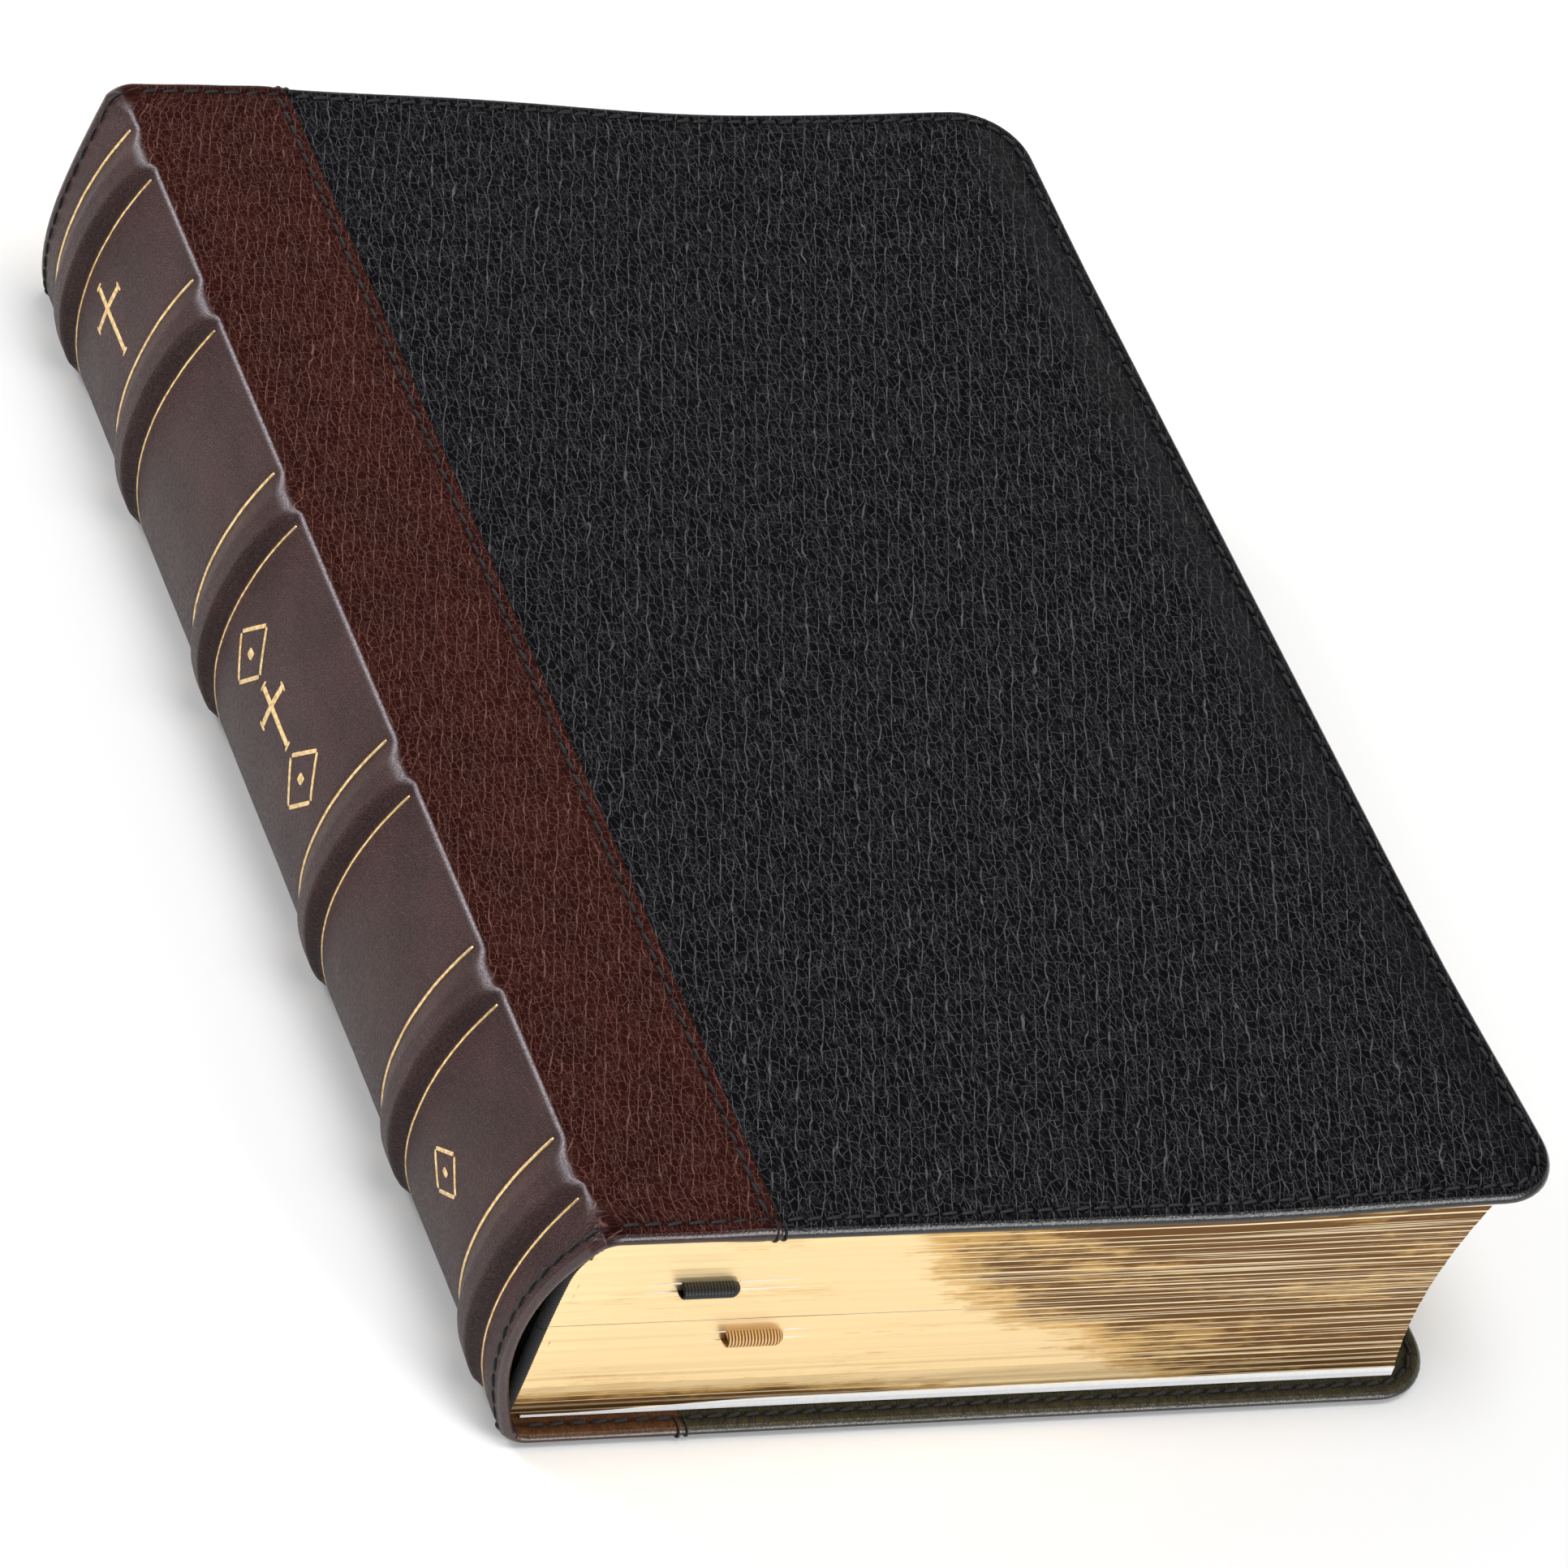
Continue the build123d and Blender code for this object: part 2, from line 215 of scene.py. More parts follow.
def weld(piece, distance):
    """Joins points that meet within a distance in metres, and turns every face outwards."""
    work = bmesh.new()
    work.from_mesh(piece.data)
    bmesh.ops.remove_doubles(work, verts=work.verts, dist=distance)
    bmesh.ops.dissolve_degenerate(work, edges=work.edges, dist=1e-7)
    bmesh.ops.recalc_face_normals(work, faces=work.faces)
    work.to_mesh(piece.data)
    work.free()
    piece.data.update()


SHEET_DEPTH = 4.0  # texture distance from a cover's outer face to its inner one


def sheet_at(along, y, share=1.0):
    """Texture coordinates in millimetres: along, lengthways, and through the thickness."""
    along, y, depth = np.broadcast_arrays(along, y, SHEET_DEPTH * (1 - np.asarray(share)))
    return np.stack([along, y, depth], -1).reshape(-1, 3)


def grid_piece(name, points, sheet, material, **options):
    """A piece whose points form one grid."""
    faces = grid_faces(*points.shape[:2], **options)
    return make_piece(name, points, faces, [material], attributes={"sheet_mm": sheet})


def thicken(piece, thickness, offset):
    """Gives a thin sheet its thickness in millimetres."""
    thick = piece.modifiers.new("sheet", "SOLIDIFY")
    thick.thickness = thickness * MM
    thick.offset = offset
    return piece


def gloss_edges(piece):
    """Gives a leather piece's tightly rolled edges the glossier of its two materials."""
    calm = np.empty(len(piece.data.vertices), np.float32)
    piece.data.attributes["calm"].data.foreach_get("value", calm)
    for face in piece.data.polygons:
        if calm[list(face.vertices)].min() > TIGHT:
            face.material_index = 1


def leather_piece(name, points, faces, material, attributes, distance):
    """A leather piece, welded where its points meet within a distance in millimetres."""
    piece = make_piece(name, points, faces, material, attributes=attributes)
    weld(piece, distance * MM)
    gloss_edges(piece)
    return piece


# ---------------------------------------------------------------- materials
def sockets(node, **values):
    """Sets a node's named inputs; underscores stand for spaces."""
    for key, value in values.items():
        node.inputs[key.replace("_", " ")].default_value = value
    return node


class Shader:
    """A Principled material and the few nodes that its colour, roughness and bump need."""

    def __init__(self, name, colour, roughness, metallic=0.0, **values):
        self.material = bpy.data.materials.new(name)
        self.material.use_nodes = True
        self.tree = self.material.node_tree
        self.bsdf = self.tree.nodes["Principled BSDF"]
        sockets(self.bsdf, Base_Color=(*colour, 1), Roughness=roughness, Metallic=metallic)
        sockets(self.bsdf, **values)
        self.material.diffuse_color = (*colour, 1)

    def node(self, kind, **properties):
        made = self.tree.nodes.new("ShaderNode" + kind)
        for key, value in properties.items():
            setattr(made, key, value)
        return made

    def link(self, source, target):
        self.tree.links.new(source, target)

    def feed(self, socket, value):
        if isinstance(value, bpy.types.NodeSocket):
            self.link(value, socket)
        else:
            socket.default_value = value

    def attribute(self, name, vector=False):
        node = self.node("Attribute", attribute_name=name)
        return node.outputs["Vector" if vector else "Fac"]

    def coordinates(self, scale):
        """The piece's own leather coordinates, in millimetres, times a scale for each axis."""
        mapping = self.node("Mapping")
        mapping.inputs["Scale"].default_value = scale
        self.link(self.attribute("sheet_mm", vector=True), mapping.inputs["Vector"])
        return mapping.outputs["Vector"]

    def math(self, operation, a, b=0.0, clamp=False):
        node = self.node("Math", operation=operation, use_clamp=clamp)
        self.feed(node.inputs[0], a)
        self.feed(node.inputs[1], b)
        return node.outputs[0]

    def times(self, a, b):
        return self.math("MULTIPLY", a, b)

    def plus(self, a, b, clamp=False):
        return self.math("ADD", a, b, clamp)

    def remap(self, value, low, high, out_low=0.0, out_high=1.0, kind="SMOOTHSTEP"):
        node = self.node("MapRange", interpolation_type=kind)
        self.feed(node.inputs["Value"], value)
        sockets(node, From_Min=low, From_Max=high, To_Min=out_low, To_Max=out_high)
        return node.outputs["Result"]

    def noise(self, vector, scale, detail=2.0, roughness=0.5, colour=False):
        node = self.node("TexNoise")
        sockets(node, Scale=scale, Detail=detail, Roughness=roughness)
        self.link(vector, node.inputs["Vector"])
        return node.outputs["Color" if colour else "Fac"]

    def patches(self, vector, scale, detail, *levels):
        """Noise whose low and high levels are carried to an output's low and high."""
        return self.remap(self.noise(vector, scale, detail), *levels)

    def warped(self, vector, scale, amount):
        """A vector pushed about by noise."""
        pushed = self.node("VectorMath", operation="MULTIPLY_ADD")
        self.link(self.noise(vector, scale, colour=True), pushed.inputs[0])
        pushed.inputs[1].default_value = (amount, amount, amount)
        self.link(vector, pushed.inputs[2])
        return pushed.outputs[0]

    def cracks(self, vector, scale):
        """Distance to the nearest crack of a net of cells, 0 on the crack."""
        node = self.node("TexVoronoi", feature="DISTANCE_TO_EDGE", voronoi_dimensions="2D")
        sockets(node, Scale=scale, Randomness=1.0)
        self.link(vector, node.inputs["Vector"])
        return node.outputs["Distance"]

    def long_lines(self, spacing, slope, reach):
        """Thin wavering lines along the sheet, spacing apart in millimetres, 1 on a line."""
        phase = 2 * math.pi / 20 / spacing
        both = self.node("CombineXYZ")
        for socket, vector in ((0, (phase, -slope * phase, 0)), (1, (0, 0.35 * phase, 0))):
            dot = self.node("VectorMath", operation="DOT_PRODUCT")
            self.link(self.attribute("sheet_mm", vector=True), dot.inputs[0])
            dot.inputs[1].default_value = vector
            self.link(dot.outputs["Value"], both.inputs[socket])
        wave = self.node("TexWave", wave_type="BANDS", bands_direction="X")
        sockets(wave, Scale=1.0, Distortion=3.6, Detail=2.0)
        wave.inputs["Detail Scale"].default_value = 2.5
        self.link(both.outputs[0], wave.inputs["Vector"])
        return self.remap(wave.outputs["Fac"], 0.0, reach, 1.0, 0.0)

    def blend(self, factor, a, b, mode="MIX"):
        node = self.node("Mix", data_type="RGBA", blend_type=mode)
        self.feed(node.inputs[0], factor)
        for socket, value in ((node.inputs[6], a), (node.inputs[7], b)):
            self.feed(socket, (*value, 1) if isinstance(value, tuple) else value)
        return node.outputs[2]

    def bump(self, height, strength, distance):
        node = self.node("Bump")
        sockets(node, Strength=strength, Distance=distance)
        self.link(height, node.inputs["Height"])
        return node.outputs["Normal"]

    def finish(self, colour=None, roughness=None, normal=None):
        for key, value in (("Base Color", colour), ("Roughness", roughness), ("Normal", normal)):
            if value is not None:
                self.link(value, self.bsdf.inputs[key])
        return self.material


# Width of the painted highlight lines along the leathers' creases
CREASE_HIGHLIGHT_MM = 0.058


def crease_lines(made, where, large, small, cell):
    """Painted highlights along a leather's creases: its large cells', long ones and small cells'."""
    broken = made.patches(where, 0.9, 2.0, 0.36, 0.56, 0.35, 1.0)
    width = CREASE_HIGHLIGHT_MM / cell
    line = made.times(made.remap(large, 0.3 * width, 1.2 * width, 0.65, 0.0), broken)
    fading = made.patches(where, 0.55, 3.0, 0.40, 0.56)
    for spacing, slope in ((1.7 * cell, 0.38), (1.3 * cell, 0.05)):
        drawn = made.times(made.long_lines(spacing, slope, 0.028), fading)
        line = made.math("MAXIMUM", line, drawn)
        fading = made.math("SUBTRACT", 0.9, fading, clamp=True)
    faint = made.patches(where, 0.6, 2.0, 0.42, 0.62, 0.0, 0.34)
    fine = made.times(made.remap(small, 0.5 * width, 2.2 * width, 1.0, 0.0), faint)
    return made.math("MAXIMUM", line, fine)


def grained_leather(name, cell, crease, worn, inside, cell_mm, roughness, depth, net, gloss):
    """Leather with a net of creases. Its colours: the cells', with painted shading of the pebbles;
    painted highlights along the creases; rubbed ridges, partly a painted highlight, and a painted
    sheen; the inner face, on the covers a painted warm reflection of the gilt; and painted shade by
    the thread.

    cell_mm is a cell's width and length, net how strongly the painted highlights on its creases
    show, and depth the bump's distance in metres.
    """
    made = Shader(name, cell, roughness, Specular_IOR_Level=gloss)
    where = made.coordinates((1 / cell_mm[0], 1 / cell_mm[1], 1 / cell_mm[0]))
    bent = made.warped(made.warped(where, 0.22, 0.9), 1.2, 0.22)
    large = made.cracks(bent, 1.0)
    small = made.cracks(made.warped(where, 2.0, 0.4), 2.3)
    active = made.math("SUBTRACT", 1.0, made.attribute("calm"), clamp=True)
    lines = made.times(crease_lines(made, where, large, small, cell_mm[0]), active)
    tone_and_pebble_shade = made.patches(where, 0.09, 2.0, 0.3, 0.7, 0.82, 1.18)
    # Painted shading of the pebbles: darker at the small cells' edges, paler in their middles
    tone_and_pebble_shade = made.times(tone_and_pebble_shade, made.remap(small, 0.02, 0.3, 0.55, 1.25))
    base = made.blend(1.0, cell, tone_and_pebble_shade, "MULTIPLY")
    # Painted highlights: the creases' lines are coloured paler
    colour = made.blend(made.times(lines, net), base, crease)
    # Rubbed ridges, partly a painted highlight, and a painted sheen near the covers' fore-edges
    wear_sheen_breakup = made.patches(where, 2.6, 4.0, 0.3, 0.6, 0.35, 1.0)
    colour = made.blend(made.times(made.attribute("wear_and_sheen"), wear_sheen_breakup), colour, worn)
    # The inner face's colour: on the two cover leathers a painted warm reflection of the gilt, on
    # the spine darker
    mottled = made.patches(where, 1.1, 3.0, 0.35, 0.65, 0.55, 1.0)
    colour = made.blend(made.times(made.attribute("inner"), mottled), colour, inside)
    # Painted shade: darker along the thread, beside the spine's bands and over the spine's back half
    painted_thread_shade = made.times(made.attribute("groove"), 0.75)
    colour = made.blend(painted_thread_shade, colour, tuple(0.2 * channel for channel in cell))
    plateau = made.remap(large, 0.0, 0.14)
    grains = made.remap(small, 0.0, 0.26)
    pores = made.noise(where, 6.0, 3.0, 0.6)
    height = made.plus(made.times(plateau, 0.6), made.times(grains, 0.6))
    height = made.plus(made.times(height, active), made.times(pores, 0.14))
    normal = made.bump(height, 0.9, depth)
    rough = made.patches(where, 1.3, 3.0, 0.3, 0.7, roughness - 0.06, roughness + 0.1)
    rough = made.math("SUBTRACT", rough, made.times(made.attribute("calm"), 0.25))
    return made.finish(colour, rough, normal)


def leather_pair(name, gloss, **looks):
    """A leather and its glossier self, for the edges where it's rolled tight over the board."""
    return [
        grained_leather(name, gloss=gloss, **looks),
        grained_leather(f"{name}_edge", gloss=EDGE_GLOSS, **looks),
    ]


def gilt_material():
    """Gilt leaf edges: burnished metal over thousands of paper edges, rubbed here and there; their
    pale and bronze patches are partly that dulling and partly a painted reflection, with painted
    highlights along the leaf edges.
    """
    made = Shader("gilt_edges", (0.86, 0.66, 0.36), 0.3, metallic=0.92)
    pale, honey, bronze = (0.96, 0.73, 0.40), (0.68, 0.42, 0.14), (0.15, 0.066, 0.013)
    streaks = made.noise(made.coordinates((0.012, 0.012, 2.6)), 1.0, 4.0, 0.65)
    fine = made.noise(made.coordinates((0.05, 0.05, 9.0)), 1.0, 2.0, 0.6)
    lines = made.plus(made.times(streaks, 0.55), made.times(fine, 0.45))
    edge_noise = made.noise(made.coordinates((0.004, 0.004, 0.85)), 1.0, 1.0)
    level = made.math("ABSOLUTE", made.math("SUBTRACT", edge_noise, 0.5))
    ridge = made.remap(level, 0.004, 0.022, 0.6, 0.0)
    cloud = made.noise(made.coordinates((0.03, 0.03, 0.11)), 1.0, 3.0, 0.6)
    speckle = made.noise(made.coordinates((0.14, 0.14, 0.7)), 1.0, 4.0, 0.7)
    cloud = made.plus(made.times(cloud, 0.6), made.times(speckle, 0.4))
    dulling_and_reflection = made.plus(made.attribute("dulling_and_reflection"), made.remap(cloud, 0.36, 0.64, -0.3, 0.3))
    leaf = made.node("TexWave", wave_type="BANDS", bands_direction="Z")
    sockets(leaf, Scale=1.0, Distortion=5.0, Detail=2.0)
    leaf.inputs["Detail Scale"].default_value = 1.3
    made.link(made.coordinates((0.002, 0.002, 0.24)), leaf.inputs["Vector"])
    dulling_and_reflection = made.plus(dulling_and_reflection, made.remap(lines, 0.38, 0.62, -0.16, 0.16, "LINEAR"), clamp=True)
    # Painted reflection and dulling: pale where the reflection is bright, honey, then bronze where
    # it is dim
    colour = made.blend(made.remap(dulling_and_reflection, 0.18, 0.5), pale, honey)
    colour = made.blend(made.remap(dulling_and_reflection, 0.45, 0.95), colour, bronze)
    # Painted highlights: pale lines along the leaf edges and the bundles' steps
    ridge = made.math("MAXIMUM", ridge, made.remap(leaf.outputs["Fac"], 0.88, 0.99))
    shine = made.times(ridge, made.remap(dulling_and_reflection, 0.1, 0.8, 0.2, 1.0))
    colour = made.blend(shine, colour, (0.97, 0.80, 0.52))
    leafy = made.plus(lines, made.times(ridge, 0.5))
    leafy = made.times(leafy, made.remap(dulling_and_reflection, 0.1, 0.8, 0.4, 1.0))
    rough = made.remap(dulling_and_reflection, 0.0, 1.0, 0.35, 0.40)
    return made.finish(colour, rough, made.bump(leafy, 0.3, 0.00012))


def paper_material(name, colour, line_scale=0.0):
    """Thin paper, with the faint lines of its stacked leaves when it's seen from its edge."""
    made = Shader(name, colour, 0.85, Specular_IOR_Level=0.25)
    fibres = made.noise(made.coordinates((0.8, 0.8, 0.8)), 2.0, 4.0, 0.6)
    darker = tuple(0.93 * channel for channel in colour)
    shade = made.blend(made.remap(fibres, 0.35, 0.7), colour, darker)
    if line_scale:
        leaves = made.noise(made.coordinates((0.01, 0.01, line_scale)), 1.0, 2.0)
        line = tuple(0.78 * channel for channel in colour)
        shade = made.blend(made.remap(leaves, 0.5, 0.62, 0.0, 0.6), shade, line)
    return made.finish(shade, None, made.bump(fibres, 0.2, 0.00005))


def thread_material(name, colour, roughness=0.6):
    """Twisted thread or woven cloth: fine slanted ribs, painted paler along them as a highlight."""
    made = Shader(name, colour, roughness, Specular_IOR_Level=0.3, Sheen_Weight=0.08)
    made.bsdf.inputs["Sheen Roughness"].default_value = 0.4
    wave = made.node("TexWave", wave_type="BANDS", bands_direction="DIAGONAL")
    sockets(wave, Scale=1.6, Distortion=1.5)
    made.link(made.coordinates((1.0, 1.0, 1.0)), wave.inputs["Vector"])
    # Painted highlight along the ribs
    painted_rib_highlight = tuple(min(1.0, 1.9 * channel + 0.01) for channel in colour)
    shade = made.blend(wave.outputs["Fac"], colour, painted_rib_highlight)
    return made.finish(shade, None, made.bump(wave.outputs["Fac"], 0.6, 0.00012))


def ribbon_material(name, painted_shade, light, roughness):
    """Satin ribbon with ribs along its length and fine weft across them, painted pale on the
    ribs' crests as a highlight and dim between them as shade.
    """
    made = Shader(name, light, roughness, Specular_IOR_Level=0.3, Sheen_Weight=0.1)
    made.bsdf.inputs["Sheen Roughness"].default_value = 0.3
    weft = made.node("TexWave", wave_type="BANDS", bands_direction="Y")
    sockets(weft, Scale=1.4, Distortion=0.6)
    made.link(made.coordinates((0.3, 1.0, 0.3)), weft.inputs["Vector"])
    rib = made.attribute("rib")
    # Painted highlight on the rib crests, painted shade between them
    shade = made.blend(made.remap(rib, 0.3, 1.0), painted_shade, light)
    height = made.plus(made.times(weft.outputs["Fac"], 0.4), rib)
    return made.finish(shade, None, made.bump(height, 0.5, 0.0001))


def foil_material():
    """Hot-stamped gilt foil on leather, with the leather's grain just showing through."""
    made = Shader("gilt_foil", (0.86, 0.60, 0.27), 0.3, metallic=1.0)
    patina = made.noise(made.coordinates((1.0, 1.0, 1.0)), 1.2, 3.0)
    shade = made.blend(made.remap(patina, 0.35, 0.7), (0.95, 0.70, 0.36), (0.62, 0.38, 0.14))
    return made.finish(shade, None, made.bump(patina, 0.25, 0.00006))


# Per leather, crease is the painted highlight colour along its creases, worn the colour of rubbed
# ridges and painted sheen, and inside the inner face's colour, a painted warm reflection of the gilt
# on the two cover leathers
BLACK = leather_pair(
    "black_leather", gloss=0.03, cell=(0.0018, 0.0018, 0.0026), crease=(0.108, 0.108, 0.112),
    worn=(0.16, 0.16, 0.16), inside=(0.050, 0.042, 0.022), cell_mm=(1.3, 2.0),
    roughness=0.36, depth=0.00024, net=0.9,
)
BURGUNDY = leather_pair(
    "burgundy_leather", gloss=0.04, cell=(0.0225, 0.0027, 0.0017), crease=(0.230, 0.110, 0.086),
    worn=(0.34, 0.30, 0.32), inside=(0.095, 0.042, 0.017), cell_mm=(1.1, 1.5),
    roughness=0.4, depth=0.00014, net=0.65,
)
SPINE = leather_pair(
    "spine_leather", gloss=0.18, cell=(0.052, 0.0222, 0.0212), crease=(0.115, 0.076, 0.072),
    worn=(0.36, 0.32, 0.34), inside=(0.026, 0.014, 0.012), cell_mm=(0.9, 1.3),
    roughness=0.33, depth=0.00016, net=0.3,
)
GILT = gilt_material()
PAGE = paper_material("page_paper", (0.60, 0.57, 0.50))
ENDPAPER = paper_material("endpaper", (0.96, 0.96, 0.97), 4.0)
PASTEDOWN = paper_material("pastedown", (0.028, 0.028, 0.030))
THREAD_BLACK = thread_material("black_thread", (0.004, 0.004, 0.005), 0.45)
CLOTH = thread_material("lining_cloth", (0.010, 0.009, 0.010), 0.9)
# Each ribbon's first colour is the painted shade between its ribs, the second the painted highlight
# on their crests
GOLD_SATIN = ribbon_material("gold_ribbon", (0.10, 0.040, 0.010), (0.78, 0.46, 0.17), 0.32)
BLACK_SATIN = ribbon_material("black_ribbon", (0.0015, 0.0015, 0.0015), (0.014, 0.014, 0.015), 0.36)
FOIL = foil_material()


# ---------------------------------------------------------------- the leather wrap
def band_profile(y):
    """0 between the raised bands and 1 on a band's crest; steeper towards the tail."""
    y = np.asarray(y, float)
    height = np.zeros_like(y)
    for centre in BAND_Y:
        height = np.maximum(height, smooth(5.3, 0.2, y - centre) * smooth(-4.6, -2.9, y - centre))
    return height


def ridge_radius(y):
    """The fold's radius: sharp along the book, and round at its head and tail."""
    return SHARP_RIDGE + (ROUND_RIDGE - SHARP_RIDGE) * smooth(9.0, 1.0, HALF - np.abs(y))


def corner_turn(line_z, radius):
    """Where a level line at line_z meets the spine's arc, and the angle between them."""
    rise = line_z - THICK / 2
    u = ARC_U - math.sqrt(radius**2 - rise**2)
    return u, math.pi / 2 - math.asin(rise / radius)


def wrap_point(kind, w, y, line_z, radius, fold):
    """A point (u, z) on one face of the wrap: along the cover, round the fold or down the arc."""
    corner_u, turn = corner_turn(line_z, radius)
    reach = fold * np.tan(turn / 2)
    if kind == "top":
        return corner_u + reach + w * (SEAM - corner_u - reach) / SEAM, np.full_like(y, line_z)
    if kind == "fold":
        angle = math.pi / 2 + turn * w
        return (
            corner_u + reach + fold * np.cos(angle),
            line_z - fold + fold * np.sin(angle),
        )
    start = math.pi / 2 - turn - reach / radius
    angle = start * (1 - w)
    fold_end = math.pi / 2 + turn
    gap_u = corner_u + reach + fold * np.cos(fold_end) - (ARC_U - radius * np.cos(start))
    gap_z = line_z - fold + fold * np.sin(fold_end) - (THICK / 2 + radius * np.sin(start))
    fade = np.exp(-w * start * radius / 3.0)
    return (
        ARC_U - radius * np.cos(angle) + gap_u * fade,
        THICK / 2 + radius * np.sin(angle) + gap_z * fade,
    )


def wrap_face(kind, w, y, outer, back=False):
    """The wrap's outer or inner face, with the bands, the ridge steps and the joint's groove."""
    y = np.asarray(y, float)
    fold = ridge_radius(y)
    if not outer:
        inner_fold = np.maximum(fold - 2.5, 0.3)
        return wrap_point(kind, w, y, THICK - COVER, RADIUS - SPINE_THICK, inner_fold)
    u, z = wrap_point(kind, w, y, THICK, RADIUS, fold)
    bands = band_profile(y)
    if back:
        bands = bands * (0.7 + 0.3 * smooth(0.0, 0.9, w if kind == "arc" else 0.0))
    if kind == "top":
        u = u - BAND_STEP * bands * bell(w, 1.6)
        pucker = wobble(2.0 * w, y, 0.9, 3.0)
        near = bell(w, 2.2) * smooth(0.02, 0.4, bands)
        groove = 0.55 * bell(w - 2.2, 1.5) * smooth(3.0, 9.0, HALF - np.abs(y))
        z = z - groove + 0.20 * pucker * near
        return u, z
    if kind == "fold":
        pucker = wobble(3.0 * w, y, 0.8, 3.0)
        u = u - (BAND_STEP + 0.22 * pucker) * bands
        return u, z
    along = 1 - w  # 1 at the fold and 0 in the middle of the spine
    height = BAND_STEP + (BAND_HEIGHT - BAND_STEP) * smooth(1.0, 0.55, along)
    angle = (1 - w) * math.asin(THICK / 2 / RADIUS) * smooth(1.0, 0.7, along)
    wrinkle = wobble(24 * along, 0.45 * y, 0.75, 5.0)
    below = sum(bell(y - c + 4.7, 0.75) for c in BAND_Y)
    tooling = sum(bell(np.abs(y - c) - RULE_OFFSET, 0.7) for c in BAND_Y)
    lift = height * bands + 0.20 * wrinkle * below - 0.12 * tooling
    return u - lift * np.cos(angle), z + lift * np.sin(angle)


def sag(u, y):
    """How the front cover lies: dished towards the head, its corners curling up."""
    v = np.asarray(y, float) + HALF
    u = np.asarray(u, float)
    dish = -DISH * bell(u - 108, 36) * smooth(10, 235, v)
    swell = SWELL * bell(u - 20, 14) * smooth(60, 240, v)
    tail_curl = TAIL_CURL * smooth(105, 165, u) * smooth(56, 0, v)
    head_curl = HEAD_CURL * smooth(135, FORE, u) * smooth(205, 250, v)
    return dish + swell + tail_curl + head_curl


def place(side, u, y, z):
    """A point of the front cover's shape, on the front cover or turned over as the back one."""
    if side == "front":
        return settle(u, y, z + sag(u, y) * smooth(2.0, 14.0, u))
    return settle(u, y, THICK - z)


# A rolled edge as (inset from the edge, share of the thickness from inner to outer face)
ROLL = [
    (10.6, 0.0), (7.0, 0.0), (4.5, 0.02), (3.3, 0.07), (2.6, 0.11), (2.1, 0.07), (1.5, 0.05),
    (0.9, 0.10), (0.45, 0.20), (0.15, 0.34), (0.0, 0.5), (0.15, 0.66), (0.45, 0.80),
    (0.9, 0.90), (1.5, 0.95), (2.1, 0.93), (2.6, 0.89), (3.3, 0.93), (4.2, 0.97),
    (5.0, 0.99), (5.8, 1.0), (6.6, 1.0), (7.4, 1.0), (8.1, 1.0), (8.8, 1.0), (9.5, 1.0),
    (10.1, 1.0), (10.7, 1.0), (11.3, 1.0), (CORNER, 1.0),
]


def edge_marks_of(inset, share):
    """Leather attributes by place across a rolled edge: smoothness, painted shade along the thread,
    inner face.
    """
    inset, share = np.broadcast_arrays(inset, share)
    return {
        "calm": 0.9 * smooth(2.2, 0.4, inset),
        # painted shade along the thread line
        "groove": bell(inset - THREAD_INSET, 0.5),
        # inner face, coloured on the covers as a painted warm reflection of the gilt
        "inner": smooth(0.42, 0.25, share),
    }


def lengthwise_rows(step):
    """The wrap's rows as a closed loop: (y without the dip, inset, share of thickness)."""
    tail = [(-(HALF - inset), inset, share) for inset, share in ROLL]
    inside = HALF - CORNER
    count = int(2 * inside / step)
    middle = [(y, HALF - abs(y), 1.0) for y in np.linspace(-inside, inside, count + 1)[1:-1]]
    head = [(HALF - inset, inset, share) for inset, share in reversed(ROLL)]
    turned_in = HALF - ROLL[0][0]
    under = [(turned_in * (1 - i / 12), CORNER + 9, 0.0) for i in range(1, 24)]
    return np.array(tail + middle + head + under)


ROWS = lengthwise_rows(0.48)
SPINE_ARC = 50.0  # way round the spine leather from ridge to ridge
FOLD_ARC = 0.4  # the part of it on each fold


def dipped(y, inset, along):
    """y with the spine's head and tail edges drawn in towards the middle of its arc."""
    depth = 1 - np.abs(along) ** 2.2
    reach = smooth(CORNER + 6, 0.0, inset) * depth
    return np.where(y > 0, y - HEAD_DIP * reach, y + TAIL_DIP * reach)


def wrap_column(kind, w, squeeze=1.0, lift=0.0, along=1.0, back=False):
    """One loop of the wrap round the head, the outside, the tail and the inside."""
    y = dipped(ROWS[:, 0], ROWS[:, 1], along)
    share = 0.5 + (ROWS[:, 2] - 0.5) * squeeze
    outer_u, outer_z = wrap_face(kind, w, y, True, back)
    inner_u, inner_z = wrap_face(kind, w, y, False, back)
    span_u, span_z = outer_u - inner_u, outer_z - inner_z
    length = np.hypot(span_u, span_z)
    share = share + lift * (2 * ROWS[:, 2] - 1) / length
    end = 0.3 * lift * smooth(1.6, 0.0, ROWS[:, 1]) * np.sign(ROWS[:, 0])
    return inner_u + span_u * share, y + end, inner_z + span_z * share


def sheet_columns(kind_list):
    """Stacks columns into arrays u, y, z of shape (columns, rows)."""
    made = [wrap_column(*entry[0], **entry[1]) for entry in kind_list]
    return (np.stack([column[i] for column in made]) for i in range(3))


